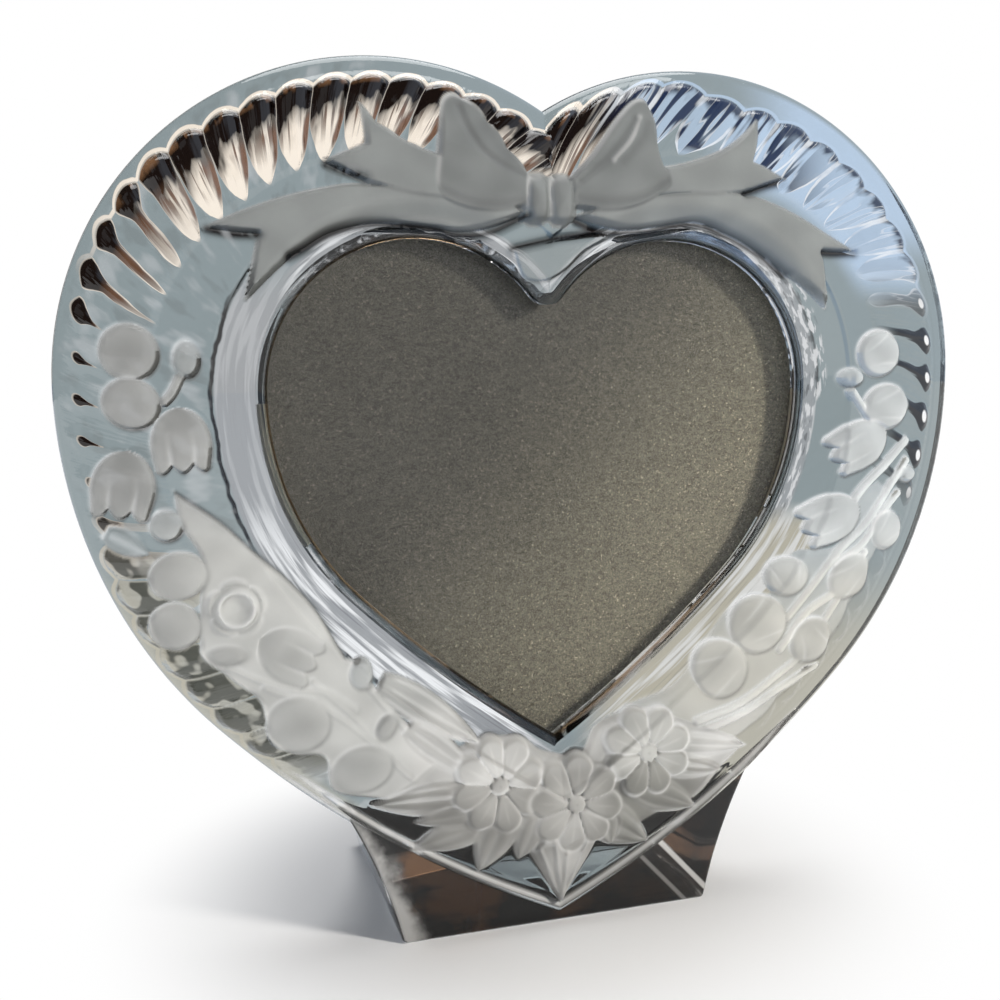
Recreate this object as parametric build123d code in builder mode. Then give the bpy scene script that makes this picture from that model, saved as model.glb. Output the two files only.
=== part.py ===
from build123d import *
import os
from math import atan2, cos, pi, radians, sin, sqrt

os.makedirs("parts", exist_ok=True)

# Heart outline of the glass, three tangent arcs on each half, heights from the middle of the heart
lobe_offset = 29.0  # lobe centre to the middle line
lobe_height = 22.0
lobe_radius = 55.5
side_radius = 85.0
side_sweep = 44.6  # degrees that the side arc runs below the widest point
lower_radius = 195.0

# Heart outline of the window, drawn the same way
window_lobe_offset = 23.8
window_lobe_height = 20.5
window_lobe_radius = 26.4
window_side_radius = 50.0
window_side_sweep = 45.0
window_lower_radius = 230.0
cleft_round = 4.0  # rounding of the glass point between the window's lobes

# Levels of the front, measured forward from the plane of the outer edge
back_depth = 12.0  # from that plane back to the flat back of the glass
band_width = 4.5  # plain band outside the flutes
band_rise = 1.6
slope_width = 14.0  # from the outer edge to the crest
crest_rise = 4.0
bevel_width = 9.0  # sloping ring round the window
lip_width = 1.2
lip_rise = 1.2
ledge_depth = 1.5  # back of the lip, where the cover seats
ledge_width = 2.2
leaf_rise = 5.2
ribbon_rise = 5.8
bud_rise = 6.4
knot_rise = 7.0
relief_root = 1.0  # relief is rooted at this level, inside the glass

# Flutes of the rim
flute_pitch = 6.2
flute_length = 13.0
flute_width = 4.6
flute_rise = 3.5
flute_inset = 5.2  # outer ends of the flutes to the outer edge
flute_lean = 32.0  # degrees that a flute turns from the straight way inwards

# Bow, right half, the left half is its mirror image
knot_width = 9.5
knot_height = 9.5
knot_middle = 55.0
knot_corner = 2.0
loop_root = (2.0, 57.5)
loop_top = (15.0, 70.5)
loop_side = (20.0, 64.0)
loop_foot = (2.0, 52.0)
upper_tail_root = (14.0, 61.5)
upper_tail_tip = (37.5, 67.0)
upper_tail_notch = (36.5, 61.0)
upper_tail_heel = (43.5, 58.5)
upper_tail_foot = (14.0, 53.5)
lower_tail_root = (20.0, 55.0)
lower_tail_tip = (60.0, 46.0)
lower_tail_notch = (53.0, 46.5)
lower_tail_heel = (54.5, 35.5)
lower_tail_foot = (6.0, 49.5)
ribbon_bulge = 2.5  # how far the long ribbon edges bow upwards

# Round buds and berries: across, up, radius
bud_places = [
    (-73.0, 28.0, 5.5),
    (-63.5, 26.5, 3.6),
    (-72.0, 20.0, 5.5),
    (-65.0, 14.0, 5.5),
    (-74.0, 7.0, 5.8),
    (-68.0, 0.0, 3.0),
    (-66.0, -8.5, 5.5),
    (-57.0, -14.0, 5.0),
    (-67.0, -17.5, 4.8),
    (-49.0, -24.0, 5.8),
    (-37.0, -27.5, 3.0),
    (-48.0, -36.0, 5.8),
    (-36.5, -44.5, 5.0),
    (65.5, 25.5, 5.2),
    (60.0, 20.5, 3.0),
    (66.5, 15.5, 5.2),
    (62.0, 7.5, 5.5),
    (73.0, 2.0, 2.8),
    (56.0, -6.5, 5.5),
    (67.0, -9.0, 4.6),
    (59.0, -17.0, 5.0),
    (46.0, -16.5, 4.2),
    (40.0, -25.0, 6.0),
    (51.0, -29.0, 5.2),
    (31.0, -34.0, 5.8),
]

# Daisies: across and up
daisy_places = [(-12.5, -51.0), (2.0, -56.0), (17.0, -48.5)]
daisy_petals = 8
petal_length = 8.5
petal_width = 5.0
button_radius = 2.0

# Leaves: point, stalk end and width
leaf_places = [
    ((-36.0, -53.0), (-20.0, -53.0), 5.5),
    ((-28.0, -62.0), (-14.0, -57.0), 5.5),
    ((-15.5, -67.0), (-12.0, -54.0), 6.0),
    ((0.0, -76.0), (0.0, -58.0), 9.0),
    ((18.5, -66.0), (6.0, -56.0), 6.5),
    ((27.0, -60.5), (14.0, -52.0), 6.5),
    ((31.0, -47.0), (19.0, -48.5), 5.5),
    ((-66.0, 4.0), (-38.0, -26.0), 8.0),
    ((-33.0, -30.0), (-15.0, -48.0), 6.5),
    ((66.0, -1.0), (36.0, -42.0), 5.0),
]

# Foot
tip_rise = 0.8  # heart tip above the table
foot_half_top = 39.5
foot_half_bottom = 30.0
foot_waist = 1.0  # hollow of the foot's sides
foot_height = 25.5  # where the foot's sides meet the heart
foot_front = 1.5
foot_reach = 47.0  # from the plane of the outer edge back to the rear edge
foot_rear_height = 5.0
foot_back_hollow = 5.0

# Cover and back panel
cover_thickness = 0.8
cover_clearance = 0.3
ear_reach = 2.4  # ears stand this far in front of the lining
ear_length = 25.0
ear_height = 6.5  # middle of the ears above the middle of the heart
ear_clearance = 0.1
lining_thickness = 0.4
board_thickness = 2.0
board_clearance = 0.2
strip_thickness = 0.5
velvet_thickness = 1.0
velvet_clearance = 0.3


def heart(offset, height, lobe, side, lower, sweep, grow=0.0, rounding=0.0):
    """Heart face with its outline moved out by grow, and its cleft rounded."""
    turn = radians(-sweep)
    side_x = offset + lobe - side
    lower_x = side_x + (side - lower) * cos(turn)
    lower_y = height + (side - lower) * sin(turn)
    lobe_r = lobe + grow
    side_r = side + grow
    lower_r = lower + grow
    round_r = max(rounding - grow, 0.0)
    if round_r > 0.0:
        round_y = height + sqrt((lobe_r + round_r) ** 2 - offset**2)
    else:
        round_y = height + sqrt(lobe_r**2 - offset**2)
    start = atan2(round_y - height, -offset)
    tip = (0.0, lower_y - sqrt(lower_r**2 - lower_x**2))
    tip_turn = atan2(tip[1] - lower_y, -lower_x)

    def on_lobe(angle):
        return (offset + lobe_r * cos(angle), height + lobe_r * sin(angle))

    def on_side(angle):
        return (side_x + side_r * cos(angle), height + side_r * sin(angle))

    def on_lower(angle):
        return (lower_x + lower_r * cos(angle), lower_y + lower_r * sin(angle))

    def on_round(angle):
        return (round_r * cos(angle), round_y + round_r * sin(angle))

    with BuildSketch(mode=Mode.PRIVATE) as face_sketch:
        with BuildLine():
            if round_r > 0.0:
                end = start - pi
                ThreePointArc(on_round(-pi / 2), on_round((end - pi / 2) / 2), on_round(end))
            ThreePointArc(on_lobe(start), on_lobe(start / 2), on_lobe(0.0))
            ThreePointArc(on_side(0.0), on_side(turn / 2), on_side(turn))
            ThreePointArc(on_lower(turn), on_lower((turn + tip_turn) / 2), tip)
            mirror(about=Plane.YZ)
        make_face()
    return face_sketch.sketch


def frame_heart(inset=0.0):
    """Heart of the glass, drawn in by the inset."""
    return heart(lobe_offset, lobe_height, lobe_radius, side_radius, lower_radius, side_sweep, -inset)


def window_heart(grow=0.0):
    """Heart of the window, moved out by grow."""
    return heart(
        window_lobe_offset,
        window_lobe_height,
        window_lobe_radius,
        window_side_radius,
        window_lower_radius,
        window_side_sweep,
        grow,
        cleft_round,
    )


def panel_heart(clearance):
    """Heart that fits the recess in the back of the glass with a clearance all round."""
    return window_heart(ledge_width - clearance)


def bowed(start, end, bulge):
    """Middle point of a ribbon edge that bows upwards."""
    return ((start[0] + end[0]) / 2, (start[1] + end[1]) / 2 + bulge)


def leaf_face(point, stalk, width):
    """Leaf of two arcs between its point and its stalk end."""
    middle = Vector((point[0] + stalk[0]) / 2, (point[1] + stalk[1]) / 2)
    run = Vector(stalk[0] - point[0], stalk[1] - point[1]).normalized()
    half = Vector(-run.Y, run.X) * (width / 2)
    with BuildSketch(mode=Mode.PRIVATE) as leaf_sketch:
        with BuildLine():
            ThreePointArc(point, middle + half, stalk)
            ThreePointArc(stalk, middle - half, point)
        make_face()
    return leaf_sketch.sketch


# Working plane of the front: x across, y up, z forward, from the plane of the outer edge
tip_level = frame_heart().bounding_box().min.Y
middle_z = tip_rise - tip_level
edge_y = (knot_rise - foot_reach) / 2
front = Plane(origin=(0, edge_y, middle_z), x_dir=(1, 0, 0), z_dir=(0, -1, 0))
side_view = Plane(origin=(foot_half_top, edge_y, 0), x_dir=(0, -1, 0), z_dir=(-1, 0, 0))
table = -middle_z

# Places of the flutes: outer and inner end of each
flute_heart = frame_heart(flute_inset).face()
flute_line = flute_heart.outer_wire()
flute_count = round(flute_line.length / flute_pitch)
flute_places = []
for step in range(flute_count):
    outer_end = flute_line @ ((step + 0.5) / flute_count)
    along = flute_line % ((step + 0.5) / flute_count)
    inwards = along.rotate(Axis.Z, 90)
    if not flute_heart.is_inside(outer_end + inwards):
        inwards = along.rotate(Axis.Z, -90)
    inner_end = outer_end + inwards.rotate(Axis.Z, -flute_lean) * flute_length
    flute_places.append(((outer_end.X, outer_end.Y), (inner_end.X, inner_end.Y)))

# Foot: the front view cut by the side view
with BuildPart() as foot:
    with BuildSketch(front.offset(-foot_reach)):
        foot_top = table + foot_height
        with BuildLine():
            Line((0, foot_top), (foot_half_top, foot_top))
            waist_x = (foot_half_top + foot_half_bottom) / 2 - foot_waist
            ThreePointArc((foot_half_top, foot_top), (waist_x, table + foot_height / 2), (foot_half_bottom, table))
            Line((foot_half_bottom, table), (0, table))
            mirror(about=Plane.YZ)
        make_face()
    extrude(amount=foot_reach + foot_front)
    with BuildSketch(side_view):
        with BuildLine():
            hollow_x = -(back_depth + foot_reach) / 2
            hollow_z = (foot_height + foot_rear_height) / 2 - foot_back_hollow
            Polyline(
                (-foot_reach, foot_rear_height),
                (-foot_reach, 0),
                (foot_front, 0),
                (foot_front, foot_height),
                (-back_depth, foot_height),
            )
            ThreePointArc((-back_depth, foot_height), (hollow_x, hollow_z), (-foot_reach, foot_rear_height))
        make_face()
    extrude(amount=2 * foot_half_top, mode=Mode.INTERSECT)

# Glass: heart, foot, flutes and raised ornament in one casting
with BuildPart() as crystal_frame:
    with BuildSketch(front.offset(-back_depth)):
        add(frame_heart())
    extrude(amount=back_depth)
    with BuildSketch(front):
        add(frame_heart())
    with BuildSketch(front.offset(band_rise)):
        add(frame_heart(band_width))
    loft(ruled=True)
    with BuildSketch(front.offset(band_rise)):
        add(frame_heart(band_width))
    with BuildSketch(front.offset(crest_rise)):
        add(frame_heart(slope_width))
    loft(ruled=True)
    add(foot.part)

    # Sloping ring round the window
    with BuildSketch(front.offset(lip_rise)):
        add(window_heart(lip_width))
    with BuildSketch(front.offset(crest_rise)):
        add(window_heart(bevel_width))
    loft(ruled=True, mode=Mode.SUBTRACT)

    # Flutes
    with BuildSketch(front.offset(relief_root)):
        for outer_end, inner_end in flute_places:
            add(leaf_face(outer_end, inner_end, flute_width))
    extrude(amount=flute_rise - relief_root)

    # Leaves and daisy petals
    with BuildSketch(front.offset(relief_root)):
        for point, stalk, width in leaf_places:
            add(leaf_face(point, stalk, width))
        for across, up in daisy_places:
            for petal in range(daisy_petals):
                turn = petal * 360 / daisy_petals
                reach = Vector(petal_length / 2, 0).rotate(Axis.Z, turn)
                with Locations((across + reach.X, up + reach.Y)):
                    Ellipse(petal_length / 2, petal_width / 2, rotation=turn)
    extrude(amount=leaf_rise - relief_root)

    # Ribbon tails and loops of the bow
    with BuildSketch(front.offset(relief_root)):
        with BuildLine():
            upper_middle = bowed(upper_tail_root, upper_tail_tip, -ribbon_bulge)
            ThreePointArc(upper_tail_root, upper_middle, upper_tail_tip)
            Polyline(upper_tail_tip, upper_tail_notch, upper_tail_heel)
            heel_middle = bowed(upper_tail_heel, upper_tail_foot, -ribbon_bulge)
            ThreePointArc(upper_tail_heel, heel_middle, upper_tail_foot)
            Line(upper_tail_foot, upper_tail_root)
        make_face()
        with BuildLine():
            tail_middle = bowed(lower_tail_root, lower_tail_tip, ribbon_bulge)
            ThreePointArc(lower_tail_root, tail_middle, lower_tail_tip)
            Polyline(lower_tail_tip, lower_tail_notch, lower_tail_heel)
            under_middle = bowed(lower_tail_heel, lower_tail_foot, 3 * ribbon_bulge)
            ThreePointArc(lower_tail_heel, under_middle, lower_tail_foot)
            Line(lower_tail_foot, lower_tail_root)
        make_face()
        with BuildLine():
            ThreePointArc(loop_root, bowed(loop_root, loop_top, ribbon_bulge), loop_top)
            Spline(loop_top, loop_side, upper_tail_foot)
            Line(upper_tail_foot, loop_foot)
            Line(loop_foot, loop_root)
        make_face()
        mirror(about=Plane.YZ)
    extrude(amount=ribbon_rise - relief_root)
    with BuildSketch(front.offset(relief_root)):
        with Locations((0, knot_middle)):
            RectangleRounded(knot_width, knot_height, knot_corner)
    extrude(amount=knot_rise - relief_root)

    # Buds, berries and daisy buttons
    for across, up, radius in bud_places:
        with Locations(front.location * Location((across, up, bud_rise - radius))):
            Sphere(radius)
    button_spots = [Location((across, up, bud_rise - button_radius)) for across, up in daisy_places]
    with Locations(*[front.location * spot for spot in button_spots]):
        Sphere(button_radius)

    # Window and the recess behind its lip
    with BuildSketch(front.offset(-back_depth)):
        add(window_heart())
    extrude(amount=back_depth + knot_rise, mode=Mode.SUBTRACT)
    with BuildSketch(front.offset(-back_depth)):
        add(panel_heart(0.0))
    extrude(amount=back_depth - ledge_depth, mode=Mode.SUBTRACT)
crystal_frame.part.label = "crystal_frame"
export_step(crystal_frame.part, "parts/crystal_frame.step")

# Levels of the pieces behind the lip, front faces
cover_level = -ledge_depth
ear_level = cover_level - cover_thickness - ear_clearance
lining_level = ear_level - ear_reach
board_level = lining_level - lining_thickness
strip_level = board_level - board_thickness
velvet_level = strip_level - strip_thickness
board_fit = ear_clearance + strip_thickness + board_clearance

# Clear cover behind the lip
with BuildPart() as photo_cover:
    with BuildSketch(front.offset(cover_level - cover_thickness)):
        add(panel_heart(cover_clearance))
    extrude(amount=cover_thickness)
photo_cover.part.label = "photo_cover"
export_step(photo_cover.part, "parts/photo_cover.step")

# Flock lining that shows in the window
with BuildPart() as front_lining:
    with BuildSketch(front.offset(board_level)):
        add(panel_heart(board_fit))
    extrude(amount=lining_thickness)
front_lining.part.label = "front_lining"
export_step(front_lining.part, "parts/front_lining.step")

# Greyboard behind the lining
with BuildPart() as backing_board:
    with BuildSketch(front.offset(strip_level)):
        add(panel_heart(board_fit))
    extrude(amount=board_thickness)
backing_board.part.label = "backing_board"
export_step(backing_board.part, "parts/backing_board.step")

# Spring strip across the board, with an ear bent forward along each side wall
with BuildPart() as spring_strip:
    with BuildSketch(front.offset(velvet_level)):
        add(panel_heart(ear_clearance))
        with Locations((0, ear_height)):
            Rectangle(2 * lobe_radius + 2 * lobe_offset, ear_length, mode=Mode.INTERSECT)
    extrude(amount=strip_thickness)
    with BuildSketch(front.offset(velvet_level)):
        add(panel_heart(ear_clearance))
        add(panel_heart(ear_clearance + strip_thickness), mode=Mode.SUBTRACT)
        with Locations((0, ear_height)):
            Rectangle(2 * lobe_radius + 2 * lobe_offset, ear_length, mode=Mode.INTERSECT)
    extrude(amount=ear_level - velvet_level)
spring_strip.part.label = "spring_strip"
export_step(spring_strip.part, "parts/spring_strip.step")

# Velvet paper over the back
with BuildPart() as velvet_back:
    with BuildSketch(front.offset(velvet_level - velvet_thickness)):
        add(panel_heart(velvet_clearance))
    extrude(amount=velvet_thickness)
velvet_back.part.label = "velvet_back"
export_step(velvet_back.part, "parts/velvet_back.step")
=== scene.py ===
from math import atan2, cos, degrees, hypot, pi, radians, sin, sqrt

import bmesh
import bpy
import numpy as np
from mathutils import Euler, Matrix, Vector


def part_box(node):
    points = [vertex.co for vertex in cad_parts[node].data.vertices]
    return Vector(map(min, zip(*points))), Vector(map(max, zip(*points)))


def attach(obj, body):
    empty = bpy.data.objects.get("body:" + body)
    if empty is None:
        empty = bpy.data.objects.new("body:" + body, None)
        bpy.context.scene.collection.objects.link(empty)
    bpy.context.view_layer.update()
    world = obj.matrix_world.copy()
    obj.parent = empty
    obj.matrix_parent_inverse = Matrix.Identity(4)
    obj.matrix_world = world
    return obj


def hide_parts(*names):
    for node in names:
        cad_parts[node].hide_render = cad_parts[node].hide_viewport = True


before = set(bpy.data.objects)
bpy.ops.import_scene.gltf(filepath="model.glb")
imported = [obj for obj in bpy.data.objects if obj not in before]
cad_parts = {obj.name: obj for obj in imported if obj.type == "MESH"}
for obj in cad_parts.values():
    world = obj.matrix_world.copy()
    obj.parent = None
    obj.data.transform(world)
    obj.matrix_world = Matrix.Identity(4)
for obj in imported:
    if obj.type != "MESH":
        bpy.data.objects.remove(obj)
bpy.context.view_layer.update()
mm = 0.001
print("frame loaded:", ", ".join(sorted(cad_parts)))

# Heart outlines in mm, three tangent arcs on each half, heights from the middle of the heart
glassOutline = {"offset": 29.0, "height": 22.0, "lobe": 55.5, "side": 85.0, "lower": 195.0,
                "sweep": 44.6, "rounding": 0.0}
windowOutline = {"offset": 23.8, "height": 20.5, "lobe": 26.4, "side": 50.0, "lower": 230.0,
                 "sweep": 45.0, "rounding": 4.0}


class Heart:
    # u runs across and v up, and grow moves the outline outwards
    bendSteps, lobeSteps = 60, 400  # fine steps at the cleft and on the lobe, from which even ones are taken

    def __init__(self, offset, height, lobe, side, lower, sweep, rounding):
        self.offset, self.height, self.rounding = offset, height, rounding
        self.lobe, self.side, self.lower = lobe, side, lower
        self.turn = -radians(sweep)
        self.sideX = offset + lobe - side
        self.lowerX = self.sideX + (side - lower) * cos(self.turn)
        self.lowerY = height + (side - lower) * sin(self.turn)
        self.roundY = height + sqrt((lobe + rounding) ** 2 - offset ** 2)
        self.start = atan2(self.roundY - height, -offset)
        self.tipTurn = atan2(-sqrt(lower ** 2 - self.lowerX ** 2), -self.lowerX)
        self.tip = self.lowerY - sqrt(lower ** 2 - self.lowerX ** 2)
        self.lobeRun = lobe * self.start
        self.sideRun = -side * self.turn
        self.halfRun = self.lobeRun + self.sideRun + lower * (self.turn - self.tipTurn)

    def ring(self, grow, counts):
        # the whole outline, clockwise from the cleft, with set counts of steps on each arc of a half
        lobe, side, lower = self.lobe + grow, self.side + grow, self.lower + grow
        roundR = max(self.rounding - grow, 0.0)
        roundY = self.height + sqrt((lobe + roundR) ** 2 - self.offset ** 2)
        start = atan2(roundY - self.height, -self.offset)
        tipTurn = atan2(-sqrt(lower ** 2 - self.lowerX ** 2), -self.lowerX)
        bend = np.linspace(-pi / 2, start - pi, self.bendSteps)
        turns = np.linspace(start, 0.0, self.lobeSteps)
        across = np.concatenate([roundR * np.cos(bend), self.offset + lobe * np.cos(turns)])
        up = np.concatenate([roundY + roundR * np.sin(bend), self.height + lobe * np.sin(turns)])
        top = np.stack([across, up], 1)
        run = np.concatenate([[0.0], np.cumsum(np.hypot(*np.diff(top, axis=0).T))])
        share = np.linspace(0.0, run[-1], counts[0] + 1)[:-1]
        top = np.stack([np.interp(share, run, top[:, 0]), np.interp(share, run, top[:, 1])], 1)
        turns = np.linspace(0.0, self.turn, counts[1] + 1)[:-1]
        flank = np.stack([self.sideX + side * np.cos(turns), self.height + side * np.sin(turns)], 1)
        turns = np.linspace(self.turn, tipTurn, counts[2] + 1)
        foot = np.stack([self.lowerX + lower * np.cos(turns), self.lowerY + lower * np.sin(turns)], 1)
        half = np.concatenate([top, flank, foot])
        half[0, 0] = half[-1, 0] = 0.0
        return np.concatenate([half, half[-2:0:-1] * (-1.0, 1.0)])

    def inset(self, u, v):
        # distance inside the outline, negative outside
        across = np.abs(u)
        lobe = self.lobe - np.hypot(across - self.offset, v - self.height)
        side = self.side - np.hypot(across - self.sideX, v - self.height)
        lower = self.lower - np.hypot(across - self.lowerX, v - self.lowerY)
        turn = np.arctan2(v - self.height, across - self.sideX)
        gap = np.where(v >= self.height, lobe, np.where(turn > self.turn, side, lower))
        cleft = np.hypot(across, v - self.roundY) - self.rounding
        wedge = across * (self.roundY - self.height) < self.offset * (self.roundY - v)
        return np.where(wedge & (v < self.roundY) & (v > self.height), np.minimum(gap, cleft), gap)

    def along(self, u, v):
        # clockwise run along the outline to the nearest point of it
        across = np.abs(u)
        lobe = self.lobe * (self.start - np.arctan2(v - self.height, across - self.offset))
        side = self.lobeRun - self.side * np.arctan2(v - self.height, across - self.sideX)
        lowTurn = np.arctan2(v - self.lowerY, across - self.lowerX)
        lower = self.lobeRun + self.sideRun + self.lower * (self.turn - lowTurn)
        turn = np.arctan2(v - self.height, across - self.sideX)
        run = np.where(v >= self.height, lobe, np.where(turn > self.turn, side, lower))
        return np.where(u >= 0, run, 2 * self.halfRun - run)


glassHeart = Heart(**glassOutline)
windowHeart = Heart(**windowOutline)

# Where the middle of the heart and the plane of its outer edge lie in the frame
knotLevel = 7.0
frameLow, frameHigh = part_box("crystal_frame")
middleZ = frameHigh.z / mm - glassHeart.height - glassHeart.lobe
edgeY = frameLow.y / mm + knotLevel


def toFrame(u, v, w):
    # across, up and forward in mm to a place in the frame in metres
    return np.stack([u * mm, (edgeY - w) * mm, (v + middleZ) * mm], -1)


def ease(low, high, x):
    # smooth step from 0 at low to 1 at high, which may lie either way round
    t = np.clip((x - low) / (high - low), 0.0, 1.0)
    return t * t * (3 - 2 * t)


def band(low, high, soft, x):
    return ease(low - soft, low + soft, x) * ease(high + soft, high - soft, x)


def blend(a, b, share):
    return a + (b - a) * share


def hump(x, width):
    return np.exp(-(x / width) ** 2)


# Zones of the heart: spans across and up, in mm, over which each one comes in or fades out
zones = {
    "lowFlank": {"up": [(4.0, -12.0)]},
    "leftEdge": {"across": [(-50.0, -72.0)]},
    "rightStart": {"across": [(22.0, 38.0)]},
    "leftSlim": {"across": [(-60.0, -70.0)], "up": [(60.0, 48.0)]},
    "rightSlim": {"across": [(62.0, 70.0)], "up": [(44.0, 34.0)]},
    "fluted": {"up": [(-50.0, -40.0)]},
    "rightRise": {"across": [(4.0, 20.0)]},
    "overFoot": {"up": [(-44.0, -56.0)]},
    "rimLit": {"up": [(-42.0, -52.0)]},
    "topLeft": {"up": [(40.0, 54.0)]},
    "topRight": {"up": [(30.0, 46.0)]},
    "blueSide": {"across": [(8.0, 20.0)]},
    "blueDeep": {"across": [(58.0, 44.0)]},
    "bluePale": {"across": [(44.0, 58.0)]},
    "ringLeft": {"across": [(4.0, -12.0)], "up": [(46.0, 34.0)]},
    "ringRight": {"across": [(2.0, 14.0)]},
    "ringHigh": {"up": [(16.0, 20.0)]},
    "ringLow": {"up": [(-2.0, -8.0)]},
    "ringOver": {"up": [(34.0, 44.0)]},
    "ringBright": {"up": [(8.0, -12.0)]},
    "lipLeft": {"across": [(-8.0, -24.0)]},
    "lipLow": {"up": [(-12.0, -30.0)]},
    "outerLine": {"across": [(-22.0, -34.0)]},
    "skyBand": {"across": [(34.0, 52.0)], "up": [(40.0, 52.0)]},
    "skyGround": {"across": [(26.0, 42.0)], "up": [(34.0, 42.0)]},
    "beigeRight": {"across": [(8.0, 26.0)], "up": [(-12.0, -36.0)]},
    "beigeLeft": {"across": [(-20.0, -40.0)], "up": [(-4.0, -20.0)]},
    "frostLowLeft": {"up": [(4.0, -6.0)]},
    "frostLow": {"across": [(-32.0, -26.0)], "up": [(-32.0, -40.0)]},
    "frostRight": {"across": [(20.0, 34.0)], "up": [(-44.0, -38.0)]},
    "frostRightLow": {"across": [(16.0, 30.0)], "up": [(-6.0, -24.0), (-44.0, -38.0)]},
    "frostTop": {"up": [(30.0, 38.0)]},
    "frostLowRight": {"across": [(4.0, 14.0), (30.0, 24.0)], "up": [(-36.0, -42.0)]},
    "blueFlutes": {"across": [(6.0, 18.0)], "up": [(32.0, 44.0)]},
    "shortened": {"up": [(37.0, 31.0)]},
    "reflectionWaves": {"across": [(-20.0, -40.0)]},
    "darkEdge": {"across": [(30.0, 50.0)], "up": [(-26.0, -10.0), (54.0, 44.0)]},
    "dotted": {"up": [(44.0, 30.0), (-6.0, 4.0)]},
}


def zone(name, u, v):
    # share of a zone at each point
    share = 1.0
    for span in zones[name].get("across", ()):
        share = share * ease(*span, u)
    for span in zones[name].get("up", ()):
        share = share * ease(*span, v)
    return share


# Section of the glass: level over the distance from the outer edge, and over that from the window
section = {
    "outer": [(0.0, -1.5), (0.25, -0.8), (0.7, -0.25), (1.4, 0.2), (4.5, 1.6), (14.0, 4.0), (60.0, 4.0)],
    "inner": [(0.0, -0.3), (0.4, 0.5), (1.0, 0.85), (3.2, 1.3), (9.0, 3.1), (9.6, 4.0), (60.0, 4.0)],
    "edgeSteps": (0.0, 0.2, 0.5, 0.9, 1.4, 2.0),  # mm, close loops at both edges
    "sheetWidth": 33.0,
    "sheetLoops": 92,
    "arcSteps": (330, 185, 205),  # lobe, side and lower arc of each half
    "ledgeLevel": -1.5,
    "ledgeWidth": 2.2,
    "backLevel": -12.0,
    "backRound": 0.9,
    "sharpOver": 55.0,  # degrees between faces that meet at a hard edge
    "backMiddle": 0.3,  # share of the back edge's rounding at its middle loop
    "merge": 0.7,  # soft corner where the ring meets the outer slope
    "plainSpan": (3.0, 7.5),  # from the window, where the ground under the bow leaves the ring's step out
    "fluteFree": (2.0, 6.0),  # from the window, where flutes begin
}

# Flutes round the rim: starts by the distance from the outer edge, widths as shares of the pitch
flutes = {
    "pitchLeft": 7.12, "pitchRight": 8.3, "phase": 0.03,
    "start": 3.5, "startLeft": 1.5, "startLow": 1.0, "startCleft": 1.8, "startRight": 5.4,
    "depth": 13.8, "lean": 26.0, "cleftLean": 38.0, "cleftWidth": 28.0,
    "rise": 2.4, "rightRise": 1.2, "flankRise": 0.8, "fall": 0.7,
    "width": 0.5, "flankWidth": 0.38, "leastWidth": 0.02, "neck": 0.55, "neckSpan": (0.12, 0.36),
    "scallop": 1.4, "endRun": 1.4,
}

# Rim that runs on down in front of the foot, with two painted highlight lines
rimLine = {"inset": 1.7, "width": 1.0, "rise": 1.7, "lights": (0.8, 2.5), "light": 0.45}


def profile(points, x):
    line = np.array(points)
    return np.interp(x, line[:, 0], line[:, 1])


def curve(*points, steps=7):
    # smooth line through a few points
    p = np.array(points, float)
    p = np.concatenate([[2 * p[0] - p[1]], p, [2 * p[-1] - p[-2]]])
    out = []
    for i in range(1, len(p) - 2):
        t = np.linspace(0, 1, steps, endpoint=False)[:, None]
        out.append(0.5 * (2 * p[i] + (p[i + 1] - p[i - 1]) * t
                          + (2 * p[i - 1] - 5 * p[i] + 4 * p[i + 1] - p[i + 2]) * t ** 2
                          + (3 * p[i] - p[i - 1] - 3 * p[i + 1] + p[i + 2]) * t ** 3))
    return np.concatenate(out + [p[-2:-1]])


def lineGap(u, v, line):
    # distance to an open line
    best = np.full(u.shape, 1e9)
    for a, b in zip(line[:-1], line[1:]):
        run = b - a
        size = max(run @ run, 1e-9)
        t = np.clip(((u - a[0]) * run[0] + (v - a[1]) * run[1]) / size, 0.0, 1.0)
        best = np.minimum(best, np.hypot(u - a[0] - t * run[0], v - a[1] - t * run[1]))
    return best


def outlineGap(u, v, outline):
    # distance inside a closed outline, negative outside
    inside = np.zeros(u.shape, bool)
    closed = np.concatenate([outline, outline[:1]])
    for a, b in zip(closed[:-1], closed[1:]):
        if a[1] != b[1]:
            crosses = (a[1] > v) != (b[1] > v)
            inside ^= crosses & (u < (b[0] - a[0]) * (v - a[1]) / (b[1] - a[1]) + a[0])
    gap = lineGap(u, v, closed)
    return np.where(inside, gap, -gap)


def turned(u, v, place, turn):
    # coordinates along and across a direction in degrees
    c, s = cos(radians(turn)), sin(radians(turn))
    return (u - place[0]) * c + (v - place[1]) * s, (v - place[1]) * c - (u - place[0]) * s


# Edges of the raised forms, by the distance inside them
edges = {
    "way": (0.14, -0.21),  # short step away from the light
    "cover": -0.2, "frost": (-0.15, 0.45), "plainFrost": (-0.4, 0.1), "noFlutes": (-0.2, 0.3),
    "line": 0.1, "lineWidth": 0.38,
}


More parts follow.
